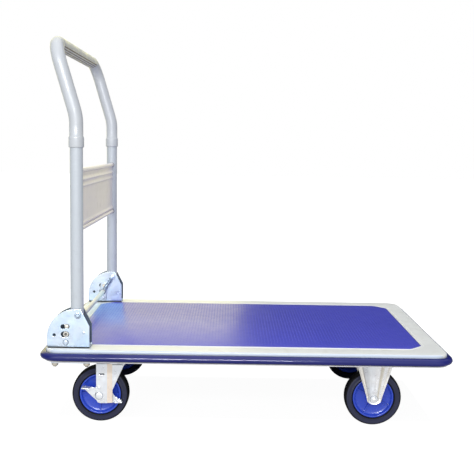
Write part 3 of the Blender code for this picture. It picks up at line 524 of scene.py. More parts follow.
FINISHES = {
    "cream": paint("deck_cream", (0.80, 0.81, 0.79), 0.42, (0.58, 0.58, 0.50)),
    # A bluish copy of the cream for the rolled edge's sides: painted sheen.
    "fold": paint("deck_fold_painted_sheen", (0.62, 0.70, 0.82), 0.34, (0.50, 0.54, 0.60)),
    # A paler copy of the cream for the skirt below the bumper: painted light where it sits in shade.
    "skirt": paint("deck_skirt_painted_light", (0.88, 0.87, 0.88), 0.40, (0.62, 0.60, 0.60)),
    "mat": vinyl("mat_blue", (0.074, 0.081, 0.56), 0.31, (0.060, 0.070, 0.50), patches=0.35),
    # The bumper's creases take painted shade.
    "bumper": vinyl("bumper_navy", (0.012, 0.016, 0.16), 0.14, (0.009, 0.012, 0.12), 500.0, 0.5, 0.35)
    .crease_shade(0.006, (0.003, 0.003, 0.02), 0.85),
    "zinc": plated("bracket_zinc", (0.62, 0.70, 0.80), 0.34, (0.52, 0.67, 0.84), (0.68, 0.68, 0.72)),
    # A dark copy of the zinc: painted shade on inner cheek faces, bracket undersides and rings round heads.
    "inside": plated("zinc_painted_shade", (0.10, 0.13, 0.18), 0.55, (0.07, 0.10, 0.15), (0.14, 0.13, 0.13), 0.4),
    "castor": plated("castor_zinc", (0.94, 0.96, 0.99), 0.32, (0.88, 0.93, 1.0), (0.97, 0.94, 0.88),
                     0.6, 0.10),
    # The fixed legs' zinc is multiplied by bands of painted highlight, shade and warm reflection.
    "housing": plated("housing_zinc_painted_shading", (0.98, 0.98, 0.99), 0.30, (0.93, 0.95, 0.99), (0.99, 0.94, 0.87),
                      0.6, 0.08)
    .shading_bands(FIXED_AXLE.x, FORK_SPREAD, FORK_SHADING),
    # A tan copy of the zinc: painted warm reflection on the swivel legs' bent steps.
    "strip": plated("zinc_painted_warm_reflection", (0.93, 0.80, 0.68), 0.42, (0.95, 0.85, 0.75), (0.84, 0.70, 0.56), 0.5),
    "steel": plated("fastener_steel", (0.74, 0.69, 0.58), 0.34, (0.66, 0.66, 0.64), (0.70, 0.58, 0.40), 0.8),
    "spring": plated("spring_wire", (0.46, 0.55, 0.66), 0.28, (0.34, 0.44, 0.58), (0.46, 0.47, 0.50), 0.95),
    "handle": paint("handle_grey", (0.555, 0.595, 0.64), 0.32, (0.46, 0.48, 0.52)),
    # The grip's creases take painted shade in a brown tint.
    "grip": vinyl("grip_white", (0.56, 0.585, 0.62), 0.38, (0.53, 0.545, 0.56))
    .crease_shade(0.004, (0.20, 0.16, 0.13), 0.80),
    # Dark brown strips on the grip: painted shade in its grooves.
    "groove": vinyl("grip_groove_painted_shade", (0.17, 0.125, 0.095), 0.50, (0.12, 0.09, 0.07)),
    "panel": paint("panel_warm_grey", (0.93, 0.88, 0.885), 0.38, (0.66, 0.60, 0.57), 0.4),
    "bar": paint("release_cream", (0.74, 0.71, 0.65), 0.38, (0.50, 0.47, 0.42)),
    "rubber": vinyl("tyre_black", (0.018, 0.021, 0.056), 0.50, (0.026, 0.030, 0.072), 700.0, specular=0.30)
    .scuffs(70.0, (0.07, 0.07, 0.10), 0.25),
    "tread": vinyl("tyre_tread", (0.004, 0.004, 0.006), 0.60, (0.008, 0.008, 0.011), 700.0, specular=0.15),
    # The hub's recesses take painted shade.
    "hub": vinyl("hub_blue", (0.036, 0.090, 0.64), 0.24, (0.026, 0.060, 0.52), 300.0)
    .crease_shade(0.004, (0.006, 0.010, 0.12), 0.85),
    "bush": vinyl("bush_nylon", (0.72, 0.71, 0.66), 0.42, (0.64, 0.62, 0.56)),
    "socket": vinyl("socket_dark", (0.10, 0.105, 0.12), 0.50, (0.07, 0.07, 0.08)),
}
LOOK = {name: finish.material for name, finish in FINISHES.items()}


# ---------------------------------------------------------------- deck

def pan_loop(inset, z):
    half_x, half_y = PAN_HIGH.x - SKIRT_LIP - inset, PAN_HIGH.y - SKIRT_LIP - inset
    return [(x, y, z) for x, y in rounded(rectangle(half_x, half_y), DECK_CORNER - inset, CORNER_STEPS)]


def mat_loop(growth, z):
    """The mat's outline grown outwards: eight rounded corners, as many points as a pan loop."""
    polygon = cut_polygon(MAT_HIGH.x + growth, MAT_HIGH.y + growth, MAT_CUT + 0.59 * growth)
    return [(x, y, z) for x, y in rounded(polygon, MAT_CORNER_ROUND + growth, (CORNER_STEPS - 1) // 2)]


def build_pan():
    """The pressed pan: a recess for the mat, a raised bead round it, a groove, and a rolled skirt."""
    recess = MAT_LOW.z - GAP
    fold = 4 * MM
    lip = BUMPER_LOW.z - 1.4 * MM
    bead = [(0.3, -2.5), (0.5, -0.4), (0.9, 0.3), (1.7, 0.8), (2.8, 0.8), (3.7, 0.3), (4.4, -0.5),
            (5.0, -0.8), (6.2, -0.8), (6.9, -0.5), (7.6, -0.1), (8.6, 0.0)]
    loops = [mat_loop(GAP, recess)] + [mat_loop(grown, DECK_TOP + rise) for grown, rise in mm(bead)]
    for angle in range(0, 91, 15):
        share = math.radians(angle)
        loops.append(pan_loop(fold * (1 - math.sin(share)), DECK_TOP - fold * (1 - math.cos(share))))
    for base, stations in (
            (lip, [(0.0, 0.0), (-1.2, -0.5), (-2.2, -1.1), (-2.5, -1.8)]),
            (PAN_LOW.z, [(-2.5, 0.8), (-1.8, 0.1), (-1.1, 0.0), (0.8, 0.0), (1.6, 0.8), (2.0, 3.0)]),
            (DECK_TOP, [(2.0, -6.0), (3.0, -3.0), (6.0, -2.0)])):
        loops += [pan_loop(inset, base + rise) for inset, rise in mm(stations)]
    loops += [mat_loop(10 * MM, DECK_TOP - 2 * MM), mat_loop(5 * MM, recess - 2 * MM)]
    bm = bmesh.new()
    skin(bm, loops)
    pan = finish_piece("deck_pan", bm, "cream", "deck", ["deck_plate"], sharp=30.0)
    pan.data.materials.append(LOOK["fold"])
    pan.data.materials.append(LOOK["skirt"])
    for face in pan.data.polygons:
        outside = abs(face.center.x) > PAN_HIGH.x - 7 * MM or abs(face.center.y) > PAN_HIGH.y - 7 * MM
        # Faces below the bumper get the paler copy: painted light.
        if outside and face.center.z < lip:
            face.material_index = 2
        # Side faces of the rolled edge get the bluish copy: painted sheen.
        elif outside and abs(face.normal.z) < 0.92:
            face.material_index = 1


def tread(bm, x, y, angle):
    """One raised grain of the mat: a narrow rounded ridge."""
    half_length, half_width = 2.7 * MM, 1.0 * MM
    rings = []
    for grow, rise in ((1.0, -0.05 * MM), (0.50, TREAD_HEIGHT)):
        hexagon = circle((0.0, 0.0), grow, 6)
        points = [about((u * half_length, v * half_width), (0.0, 0.0), angle) for u, v in hexagon]
        rings.append([bm.verts.new((x + u, y + v, MAT_HIGH.z + rise)) for u, v in points])
    bridge(bm, *rings)
    bm.faces.new(rings[-1])


def build_mat():
    bm = bmesh.new()
    skin(bm, [mat_loop(0.0, MAT_LOW.z), mat_loop(0.0, MAT_HIGH.z - 0.9 * MM),
              mat_loop(-0.3 * MM, MAT_HIGH.z - 0.3 * MM), mat_loop(-1.0 * MM, MAT_HIGH.z)])
    finish_piece("mat_sheet", bm, "mat", "deck", ["deck_mat"])
    bm = bmesh.new()
    margin = 6 * MM
    columns = int((MAT_HIGH.x - margin) / TREAD_PITCH)
    rows = int((MAT_HIGH.y - margin) / TREAD_PITCH)
    for i in range(-columns, columns + 1):
        for j in range(-rows, rows + 1):
            x, y = i * TREAD_PITCH, j * TREAD_PITCH
            if abs(x) + abs(y) < MAT_HIGH.x + MAT_HIGH.y - MAT_CUT - 1.4 * margin:
                tread(bm, x, y, 45.0 if (i + j) % 2 else -45.0)
    finish_piece("mat_treads", bm, "mat", "deck", sharp=60.0)


def build_bumper():
    """A vinyl strip with a drooping nose, a flat upper face and a shallow groove near each edge."""
    middle, half = (BUMPER_LOW.z + BUMPER_HIGH.z) / 2, (BUMPER_HIGH.z - BUMPER_LOW.z) / 2
    depth = BUMPER_HIGH.x - PAN_HIGH.x + SKIRT_LIP
    base, droop = 4 * MM, math.radians(12.0)
    profile = [(GAP, -half + 0.8 * MM), (GAP, half - 0.8 * MM), (1.5 * MM, half)]
    steps = 26
    for i in range(steps + 1):
        angle = math.pi / 2 - math.pi * i / steps
        groove = sum(math.exp(-((math.degrees(angle) - at) / 6.0) ** 2) for at in (50.0, -38.0))
        reach = base + (depth - base) * max(0.0, math.cos(angle + droop)) ** 0.9
        profile.append((reach - 0.6 * MM * groove, half * math.sin(angle)))
    flat = [i for i, (_, z) in enumerate(profile) if 0.6 * MM < z < 4.0 * MM and i > 2]
    (top_reach, top_z), (low_reach, low_z) = profile[flat[0]], profile[flat[-1]]
    for i in flat:
        share = (profile[i][1] - top_z) / (low_z - top_z)
        profile[i] = (top_reach + (low_reach - top_reach) * share, profile[i][1])
    profile.append((1.5 * MM, -half))
    bm = bmesh.new()
    skin(bm, [pan_loop(-reach, middle + z) for reach, z in profile], ring=True)
    finish_piece("bumper_strip", bm, "bumper", "deck", ["edge_bumper"], sharp=50.0)


# ---------------------------------------------------------------- hinge brackets and their hardware

def cheek_outline():
    corner = 63 * MM
    bottom = BRACKET_LOW.z + 5 * MM
    back = arc((BRACKET_LOW.x + corner, PIVOT.z), corner, 180.0, 82.0, 30)
    slope = [(POST_X + 10 * MM, BRACKET_HIGH.z), (BRACKET_HIGH.x, CHEEK_SHOULDER_Z), (BRACKET_HIGH.x, bottom)]
    return [(BRACKET_LOW.x, bottom)] + back + slope


def build_bracket(side, suffix):
    """A bent U bracket: two cheeks that rise from a flat base through rounded bends, with painted shade
    inside and underneath.
    """
    centre = side * POST_Y
    holes = [circle(SPARE_HOLE, 3.5 * MM), swing_slot(BAR_POINT, 6.6 * MM), swing_slot(LOCK_POINT, 5.1 * MM)]
    bm = bmesh.new()
    for cheek in (-1, 1):
        faces = (centre + cheek * CHEEK_INNER, centre + cheek * CHEEK_OUTER)
        plate(bm, cheek_outline(), "Y", *faces, holes, 0.6 * MM)
    # The faces inside the U take the dark zinc: painted shade.
    for face in bm.faces:
        if abs(face.calc_center_median().y - centre) < CHEEK_INNER + 0.3 * MM:
            face.material_index = 1
    outer_bend, inner_bend = 5 * MM, 2 * MM
    low = BRACKET_LOW.z
    middle = (centre + CHEEK_OUTER - outer_bend, low + outer_bend)
    bends = arc(middle, outer_bend, -90.0, 0.0, 8) + arc(middle, inner_bend, 0.0, -90.0, 8)
    section = bends + [(2 * centre - u, v) for u, v in bends[::-1]]
    plate(bm, section, "X", BRACKET_LOW.x, BRACKET_HIGH.x, edge=0.5 * MM)
    node = "hinge_bracket_" + suffix
    bracket = finish_piece("bracket_" + suffix, bm, "zinc", "deck", [node])
    bracket.data.materials.append(LOOK["inside"])
    # Downward faces of the bends take the dark zinc: a painted shadow line under the bracket.
    for polygon in bracket.data.polygons:
        if polygon.normal.z < -0.40 and polygon.center.z < low + outer_bend:
            polygon.material_index = 1
    build_bracket_pins(side, suffix)


def build_bracket_pins(side, suffix):
    """The pins, rivets and studs of one bracket, and the lever and lug that work inside it."""
    centre = side * POST_Y
    face, inner = CHEEK_OUTER / MM, CHEEK_INNER / MM

    def pin(name, point, profile, node=None, look="zinc", body="deck", ring=False):
        """A round piece; its profile is in millimetres, outwards from the middle of the post."""
        shape = bmesh.new()
        stations = [(radius, centre + side * out) for radius, out in mm(profile)]
        turned(shape, stations, "Y", point, ring=ring)
        finish_piece(f"{name}_{suffix}", shape, look, body, [f"{node}_{suffix}"] if node else [])

    def shade_ring(name, point, radius, width):
        """A thin dark ring round a head that sits on the outer cheek: painted shade at the head's edge."""
        rim = radius + width
        ring = [(radius, face - 0.1), (rim, face - 0.1), (rim, face + 0.15), (radius, face + 0.3)]
        pin(name, point, ring, look="inside", ring=True)

    shade_ring("rivet_shade_ring", STUD_POINT, 6.3, 0.8)
    # A dark ring on the rivet's face: painted shade in its groove.
    groove = [(3.48, face + 0.3), (4.47, face + 0.3), (4.47, face + 0.6), (3.48, face + 0.6)]
    pin("rivet_groove_shade", STUD_POINT, groove, look="inside", ring=True)
    shade_ring("lever_pin_shade_ring", LEVER_POINT, 5.4, 1.1)
    button = [(3.0, inner), (3.0, face), (6.3, face), (6.3, face + 0.9), (5.7, face + 1.2),
              (4.65, face + 1.2), (4.5, face + 0.4), (3.45, face + 0.4), (3.3, face + 1.0), (1.2, face + 1.2)]
    pin("rivet", STUD_POINT, button, "cheek_rivet")
    end = (POST_Y - STUD_LOW.y) / MM
    stud = [(3.0, -inner), (3.0, -face), (5.4, -face - 0.2), (5.4, -face - 1.2), (3.0, -face - 1.7),
            (3.0, 2.0 - end), (4.8, 1.6 - end), (4.8, 0.5 - end), (3.3, -end)]
    pin("stud", STUD_POINT, stud, "spring_stud")
    pin("pivot_pin", (POST_X, PIVOT.z), [(5.7, 0.5 - face), (5.7, face - 0.5)], "handle_pivot_pin")
    back, head = (POST_Y - LEVER_PIN_LOW.y) / MM, (LEVER_PIN_HIGH.y - POST_Y) / MM
    screw = [(4.2, -back), (5.1, 0.6 - back), (5.1, 1.6 - back), (3.0, 1.7 - back), (3.0, face),
             (5.4, face + 0.1), (5.4, face + 1.1), (4.6, head - 0.3), (3.1, head), (2.7, head - 0.5)]
    pin("lever_pin", LEVER_POINT, screw, "lever_pivot_pin")
    dimple = [(3.6, face - 0.2), (3.2, face + 0.1), (2.2, face + 0.45), (1.0, face + 0.55)]
    pin("dimple", (BRACKET_HIGH.x - 12.5 * MM, PIVOT.z + 11 * MM), dimple)

    # The release's lever plate and lock pin, and the lug on the post that rests on the pin.
    shape = bmesh.new()
    lever = [side * LEVER_LOW.y, side * LEVER_HIGH.y]
    plate(shape, stadium(LEVER_POINT, LOCK_POINT, 9.4 * MM), "Y", *lever, edge=0.7 * MM)
    finish_piece("lever_" + suffix, shape, "zinc", "release", ["release_lever_" + suffix])
    back, front = (POST_Y - LOCK_LOW.y) / MM, (LOCK_HIGH.y - POST_Y) / MM
    lock = [(3.6, -back), (4.5, 0.7 - back), (4.5, front - 0.8), (4.0, front - 0.2), (3.2, front)]
    pin("lock_pin_round", LOCK_POINT, lock, "lock_pin", "steel", "release")
    shape = bmesh.new()
    outline = arc((POST_X, centre), TUBE_RADIUS + GAP, 118.0, 242.0, 12)
    outline += [(LUG_LOW.x, centre - 7 * MM), (LUG_LOW.x, centre + 7 * MM)]
    plate(shape, outline, "Z", LUG_LOW.z, LUG_HIGH.z, edge=0.8 * MM)
    finish_piece("lug_" + suffix, shape, "steel", "handle", ["lock_lug_" + suffix])


def build_spring(side, suffix):
    """A tension spring with an eye round the release bar and an eye round its stud."""
    low, high = [Vector((x, side * SPRING_Y, z)) for x, z in (BAR_POINT, STUD_POINT)]
    along = (high - low).normalized()
    across = Vector((0.0, side * 1.0, 0.0))
    third = along.cross(across)
    coil, wire, turns, turn_steps = 4.5 * MM, 0.85 * MM, 11, 14
    bar_eye, stud_eye = 7.0 * MM, 3.9 * MM
    start, end = low + along * (bar_eye + 1.6 * MM), high - along * (stud_eye + 1.4 * MM)

    def eye(middle, radius, out, degrees):
        """A loop of wire that opens towards the coil."""
        angles = [math.radians(angle) for angle in degrees]
        return [middle + third * radius * math.sin(a) + out * radius * math.cos(a) for a in angles]

    path = eye(low, bar_eye, -along, range(-140, 150, 20))
    for i in range(turns * turn_steps + 1):
        angle = 2 * math.pi * i / turn_steps
        centre = start.lerp(end, i / (turns * turn_steps))
        path.append(centre + across * coil * math.sin(angle) + third * coil * math.cos(angle))
    path += eye(high, stud_eye, along, range(140, -150, -20))
    bm = bmesh.new()
    tube(bm, path, [wire] * len(path), sides=8)
    node = "release_spring_" + suffix
    coiled = finish_piece("spring_" + suffix, bm, "spring", None, [node])
    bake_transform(coiled)


def hex_body(bm, x, y, low, high, radius):
    """A nut or bolt head, six corners and six flats, with both faces chamfered."""
    chamfer, flat = 0.12 * radius, math.cos(math.radians(30.0))
    points = circle((0.0, 0.0), radius, 12)
    hexagon = [(u * flat, v * flat) if i % 2 else (u, v) for i, (u, v) in enumerate(points)]
    end = circle((0.0, 0.0), 0.84 * radius, 12)
    stations = ((low, end), (low + chamfer, hexagon), (high - chamfer, hexagon), (high, end))
    skin(bm, [[(x + u, y + v, z) for u, v in outline] for z, outline in stations])


def threaded_end(bm, x, y, low, high, radius=4 * MM, pitch=1.25 * MM):
    """A bolt's threaded end, as a stack of thread crests."""
    first = low + 0.6 * MM
    profile = [(0.75 * radius, low), (radius, first)]
    for i in range(max(1, int((high - first) / pitch))):
        z = first + i * pitch
        profile += [(radius, z + 0.25 * pitch), (0.86 * radius, z + 0.5 * pitch), (radius, z + pitch)]
    profile.append((radius, high))
    turned(bm, profile, "Z", (x, y), 16)


def washer(bm, at, radius, low, high):
    turned(bm, [(radius, low), (radius, high)], "Z", at)


def build_bracket_bolts(suffix):
    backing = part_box("bracket_backing_" + suffix)[0].z
    base = BRACKET_LOW.z + SHEET
    for name in ("outer", "inner"):
        node = f"bracket_bolt_{name}_{suffix}"
        low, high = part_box(node)
        at = ((low.x + high.x) / 2, (low.y + high.y) / 2)
        radius = (high.x - low.x) / 2
        bm = bmesh.new()
        threaded_end(bm, *at, low.z, backing - 8 * MM)
        hex_body(bm, *at, backing - 8.6 * MM, backing - 1.6 * MM, radius)
        washer(bm, at, 8.6 * MM, backing - 1.5 * MM, backing - 0.1 * MM)
        washer(bm, at, 8.4 * MM, base, base + 1.0 * MM)
        hex_body(bm, *at, base + 1.0 * MM, high.z + 0.8 * MM, 0.96 * radius)
        finish_piece(node + "_round", bm, "steel", "deck", [node])


# ---------------------------------------------------------------- handle

def handle_route(start_z, steps):
    corners = [(POST_X, -POST_Y, start_z), (POST_X, -POST_Y, BEND_Z), (CROSSBAR_X, -POST_Y, CROSSBAR_Z),
               (CROSSBAR_X, POST_Y, CROSSBAR_Z), (POST_X, POST_Y, BEND_Z), (POST_X, POST_Y, start_z)]
    return bent_path(corners, (BEND_RADIUS, CORNER_RADIUS, CORNER_RADIUS, BEND_RADIUS), steps)


def build_handle():
    route = handle_route(TUBE_LOW.z, 14)
    bm = bmesh.new()
    tube(bm, route, [TUBE_RADIUS] * len(route), TUBE_RADIUS - TUBE_WALL)
    finish_piece("handle_frame", bm, "handle", "handle", ["handle_tube"])

    route = handle_route(SLEEVE_LOW.z, 16)
    collar = [(0.0, -1.1), (0.5, -0.4), (1.2, -0.1), (2.2, 0.0), (20.5, 0.0), (22.0, -0.1), (23.0, -0.5),
              (23.6, -1.2), (24.2, -1.6)]
    climb = [(along, COLLAR_RADIUS + grow) for along, grow in mm(collar)]
    first = [route[0] + Vector((0.0, 0.0, along)) for along, _ in climb]
    last = [route[-1] + Vector((0.0, 0.0, along)) for along, _ in climb[::-1]]
    radii = [radius for _, radius in climb] + [SLEEVE_RADIUS] * (len(route) - 2) + [r for _, r in climb[::-1]]
    bm = bmesh.new()
    tube(bm, first + route[1:-1] + last, radii, TUBE_RADIUS + 0.1 * MM)
    finish_piece("grip_cover", bm, "grip", "handle", ["grip_sleeve"], sharp=50.0)
    build_grip_pads()


def build_grip_pads():
    """Rows of oval finger pads along the underside of the crossbar, with a dark strip beside each row:
    painted shade standing for a groove.
    """
    pitch, reach = 10.5 * MM, POST_Y - CORNER_RADIUS
    count = int(reach / pitch)
    row_step = 20.5
    pads, grooves = bmesh.new(), bmesh.new()
    for row in range(6):
        angle = math.radians(-37.0 - row_step * row)
        out = Vector((math.cos(angle), 0.0, math.sin(angle)))
        around = Vector((-math.sin(angle), 0.0, math.cos(angle)))
        for k in range(-count, count + 1):
            y = (k + (0.5 if row % 2 else 0.0)) * pitch
            centre = Vector((CROSSBAR_X, y, CROSSBAR_Z)) + out * (SLEEVE_RADIUS - 0.2 * MM)
            rings = []
            for grow, rise in ((1.0, -0.6), (0.85, 0.45), (0.5, 0.75)):
                ring = []
                for u, v in circle((0.0, 0.0), grow, 10):
                    ring.append(pads.verts.new(centre + out * rise * MM + Vector((0.0, u * 4.5 * MM, 0.0))
                                               + around * v * 2.0 * MM))
                rings.append(ring)
            for low, high in zip(rings, rings[1:]):
                bridge(pads, low, high)
            pads.faces.new(rings[-1])
        middle = math.degrees(angle) + row_step / 2
        inner, outer = SLEEVE_RADIUS - 0.3 * MM, SLEEVE_RADIUS + 0.2 * MM
        ends = (middle - 4.0, middle + 4.0)
        bar = (CROSSBAR_X, CROSSBAR_Z)
        section = arc(bar, outer, *ends, 3) + arc(bar, inner, *ends[::-1], 3)
        skin(grooves, [[(x, y, z) for x, z in section] for y in (-reach, reach)])
    finish_piece("grip_pads", pads, "grip", "handle", sharp=60.0)
    finish_piece("grip_shade_strips", grooves, "groove", "handle")


# Ridges and grooves across the panel: place as a share of its height, width and millimetres out.
EMBOSSING = ((0.93, 0.020, -0.9), (0.865, 0.026, 3.2), (0.80, 0.014, -0.6), (0.745, 0.024, 2.6),
             (0.055, 0.030, 2.6))


def panel_depth(share):
    """How far the panel's sheet stands out, by its height as a share of the sheet between the rolls."""
    depth = 0.0
    for at, width, height in EMBOSSING:
        depth += height * math.exp(-((share - at) / width) ** 2)
    return (depth + 0.12 * math.sin(share * 2 * math.pi * 5)) * MM


def build_panel():
    """An embossed sheet between a rolled upper and a rolled lower edge, screwed to the posts."""
    roll = 5 * MM
    x = (PANEL_LOW.x + PANEL_HIGH.x) / 2
    low, high = PANEL_LOW.z + roll, PANEL_HIGH.z - roll
    sheet_low, sheet_high = low + 0.8 * roll, high - 0.8 * roll
    steps = 110
    half_sheet = 0.75 * MM
    shares = [i / steps for i in range(steps + 1)]
    wave = [(panel_depth(share), sheet_low + (sheet_high - sheet_low) * share) for share in shares]
    front = [(x + depth + half_sheet, z) for depth, z in wave]
    back = [(x + depth - half_sheet, z) for depth, z in wave]
    top_roll = arc((x, high), roll, -82.0, 262.0, 30)
    low_roll = arc((x, low), roll, 98.0, 442.0, 30)
    section = front + top_roll + back[::-1] + low_roll
    reach = POST_Y - TUBE_RADIUS - 1.6 * MM
    bm = bmesh.new()
    skin(bm, [[(u, y, v) for u, v in section] for y in (-reach, reach)])
    finish_piece("panel_sheet", bm, "panel", "handle", ["cross_panel"], sharp=50.0)
    bm = bmesh.new()
    for side in (-1, 1):
        for z in (low, high):
            ends = [(5.6 * MM, reach - 1.2 * MM), (5.8 * MM, reach), (5.8 * MM, reach + 1.2 * MM),
                    (4.6 * MM, reach + 2.0 * MM)]
            turned(bm, [(radius, side * along) for radius, along in ends], "Y", (x, z))
    finish_piece("panel_sockets", bm, "socket", "handle")


def build_release_bar():
    outer, bore, end = 6.0 * MM, 3.4 * MM, BAR_HIGH.y
    rim = [(bore, end - 6 * MM), (bore, end - 0.4 * MM), (bore + 0.4 * MM, end), (outer - 0.9 * MM, end),
           (outer, end - 1.0 * MM)]
    profile = [(radius, -y) for radius, y in rim] + [(radius, y) for radius, y in rim[::-1]]
    bm = bmesh.new()
    turned(bm, profile, "Y", BAR_POINT, 32)
    finish_piece("release_rod", bm, "bar", "release", ["release_bar"])


# ---------------------------------------------------------------- castors

def build_tyre(x, side, kind, suffix):
    """A solid tyre: crowned tread, round shoulders and a raised ring on each wall."""
    half = TYRE_HIGH.y - TRACK_Y
    wall = [(48.0, 14.4), (49.0, 15.4), (50.2, 16.0), (51.4, 15.9), (52.2, 15.2), (54.5, 15.1), (57.0, 15.4)]
    shoulder = [(58.8 + 6.0 * math.cos(a), 9.6 + 6.0 * math.sin(a))
                for a in map(math.radians, (80, 65, 50, 38, 26, 14, 4))]
    outside = mm(wall + shoulder) + [(WHEEL_RADIUS, 5 * MM)]
    outside = [(min(r, WHEEL_RADIUS), min(y, half)) for r, y in outside]
    bm = bmesh.new()
    turned(bm, mirrored(outside, side * TRACK_Y), "Y", (x, WHEEL_RADIUS), WHEEL_STEPS, ring=True)
    name, body, node = f"{kind}_tyre_{suffix}", f"{kind}_wheel_{suffix}", f"tyre_{kind}_{suffix}"
    tyre = finish_piece(name, bm, "rubber", body, [node], sharp=50.0)
    tyre.data.materials.append(LOOK["tread"])
    for face in tyre.data.polygons:
        radius = math.hypot(face.center.x - x, face.center.z - WHEEL_RADIUS)
        if radius > WHEEL_RADIUS - 3.4 * MM or radius < 50 * MM:
            face.material_index = 1


def build_hub(x, side, kind, suffix, phase):
    """A moulded hub: rim, recessed web with low radial ribs, and a bored boss."""
    centre = side * TRACK_Y
    half = mm([(9.9, 17.6), (10.3, 18.0), (14.2, 18.0), (15.0, 17.2), (16.0, 7.5), (17.5, 5.2), (20.0, 4.6),
               (36.0, 6.4), (40.2, 7.4), (41.8, 9.0), (42.8, 12.4), (43.6, 13.9), (44.6, 14.4), (46.2, 14.4),
               (47.0, 13.7), (47.7, 12.0)])
    bm = bmesh.new()
    turned(bm, mirrored(half, centre), "Y", (x, WHEEL_RADIUS), WHEEL_STEPS, ring=True)
    for face in (-1, 1):
        for k in range(4):
            angle = math.radians(phase + 90.0 * k)
            out = Vector((math.cos(angle), math.sin(angle)))
            along = Vector((-out.y, out.x))
            loops = []
            for radius, rise in ((15.5, 10.5), (24.0, 8.4), (34.0, 8.6), (42.5, 11.0)):
                foot = Vector((x, WHEEL_RADIUS)) + out * radius * MM
                rib = [(1.5, 3.0), (1.3, rise - 0.4), (0.9, rise)]
                rib += [(-width, height) for width, height in rib[::-1]]
                points = [(foot + along * width, height) for width, height in mm(rib)]
                loops.append([(point.x, centre + face * height, point.y) for point, height in points])
            skin(bm, loops)
    name, body, node = f"{kind}_hub_{suffix}", f"{kind}_wheel_{suffix}", f"hub_{kind}_{suffix}"
    finish_piece(name, bm, "hub", body, [node], sharp=42.0)


def build_wheel(x, side, kind, suffix, phase):
    build_tyre(x, side, kind, suffix)
    build_hub(x, side, kind, suffix, phase)
    reach = BUSH_HIGH.y - TRACK_Y
    half = [(5.3 * MM, reach), (8.8 * MM, reach), (9.5 * MM, reach - 0.7 * MM)]
    bm = bmesh.new()
    turned(bm, mirrored(half, side * TRACK_Y), "Y", (x, WHEEL_RADIUS), ring=True)
    name, body, node = f"{kind}_bush_{suffix}", f"{kind}_wheel_{suffix}", f"bush_{kind}_{suffix}"
    finish_piece(name, bm, "bush", body, [node])


def build_axle(x, side, name, body, node, reach, head):
    """An axle with upset heads; the head's profile is in millimetres, out from the leg's outer face."""
    centre = side * TRACK_Y
    half = mm([(AXLE_RADIUS_MM, AXLE_INNER_MM), (AXLE_RADIUS_MM, reach)] + [(r, reach + y) for r, y in head])
    bm = bmesh.new()
    turned(bm, mirrored(half[::-1], centre), "Y", (x, WHEEL_RADIUS))
    finish_piece(name, bm, "castor", body, [node])
    # A thin dark ring at each head's edge: painted shade where the head meets the leg.
    bm = bmesh.new()
    inner, depth = half[2]
    outer = inner + 0.7 * MM
    ring = [(inner, depth - 0.2 * MM), (outer, depth - 0.2 * MM), (outer, depth + 0.1 * MM),
            (inner, depth + 0.25 * MM)]
    for end in (-1, 1):
        turned(bm, [(r, centre + end * y) for r, y in ring], "Y", (x, WHEEL_RADIUS), ring=True)
    finish_piece(name + "_shade_rings", bm, "inside", body)


def build_plate_bolts(name, x, y):
    """Four bolts with nuts under a castor plate's corners."""
    low = PLATE_HIGH.z - SHEET
    bm = bmesh.new()
    for sx in (-1, 1):
        for sy in (-1, 1):
            at = (x + sx * PLATE_BOLT[0], y + sy * PLATE_BOLT[1])
            washer(bm, at, 8.4 * MM, low - 1.4 * MM, low - 0.05 * MM)
            hex_body(bm, *at, low - 7.0 * MM, low - 1.4 * MM, 7.2 * MM)
            threaded_end(bm, *at, low - 10 * MM, low - 6.5 * MM)
    finish_piece(name, bm, "steel", "deck")


def add_castor_plate(bm, x, y):
    """The rounded top plate of a castor with its four bolt slots."""
    half_x, half_y = (PLATE_HIGH.x - PLATE_LOW.x) / 2, (PLATE_HIGH.y - PLATE_LOW.y) / 2
    holes = []
    for sx in (-1, 1):
        for sy in (-1, 1):
            start = (x + sx * (PLATE_BOLT[0] - 2.5 * MM), y + sy * PLATE_BOLT[1])
            holes.append(stadium(start, (start[0] + sx * 4 * MM, start[1]), 4.4 * MM, 8))
    outline = rounded(rectangle(half_x, half_y, (x, y)), 8 * MM, 6)
    plate(bm, outline, "Z", PLATE_HIGH.z - SHEET, PLATE_HIGH.z, holes, 0.5 * MM)


def fixed_half_width(z):
    """Half the width of a fixed fork's leg at a height: wide at the plate, round at the foot."""
    foot = WHEEL_RADIUS - FIXED_LOW.z
    if z < WHEEL_RADIUS:
        return 16.4 * MM * math.sqrt(max(0.0, 1 - ((z - WHEEL_RADIUS) / foot) ** 2)) + 0.1 * MM
    table = [(65.0, 16.5), (72.0, 18.0), (138.0, 38.5), (146.0, 40.5), (152.0, 45.0), (157.0, 52.0),
             (160.0, 52.4)]
    return between(z, mm(table))


def fixed_relief(x, z):
    """How far a fixed leg's pressed face stands out: turned edges, a raised middle and two flutes."""
    edge, slant = fixed_half_width(z) - abs(x), 0.95
    if z < WHEEL_RADIUS:
        foot = WHEEL_RADIUS - FIXED_LOW.z
        edge, slant = (1 - math.hypot(x / (16.5 * MM), (z - WHEEL_RADIUS) / foot)) * foot, 1.0
    rim = 1.9 * smooth(1 - edge * slant / (4.2 * MM))
    middle = between(z, mm([(66.0, 5.0), (85.0, 9.0), (150.0, 18.0)]))
    raised = 1.7 * smooth((middle - abs(x)) / (4.0 * MM)) * smooth((z - 72 * MM) / (12 * MM))
    flute = -1.1 * math.exp(-((abs(x) - 0.42 * middle) / (1.8 * MM)) ** 2) * smooth((z - 82 * MM) / (14 * MM))
    pad = -0.5 * smooth(1 - (math.hypot(x, z - WHEEL_RADIUS) - 7.6 * MM) / (2.0 * MM))
    return (rim + raised + flute + pad) * MM


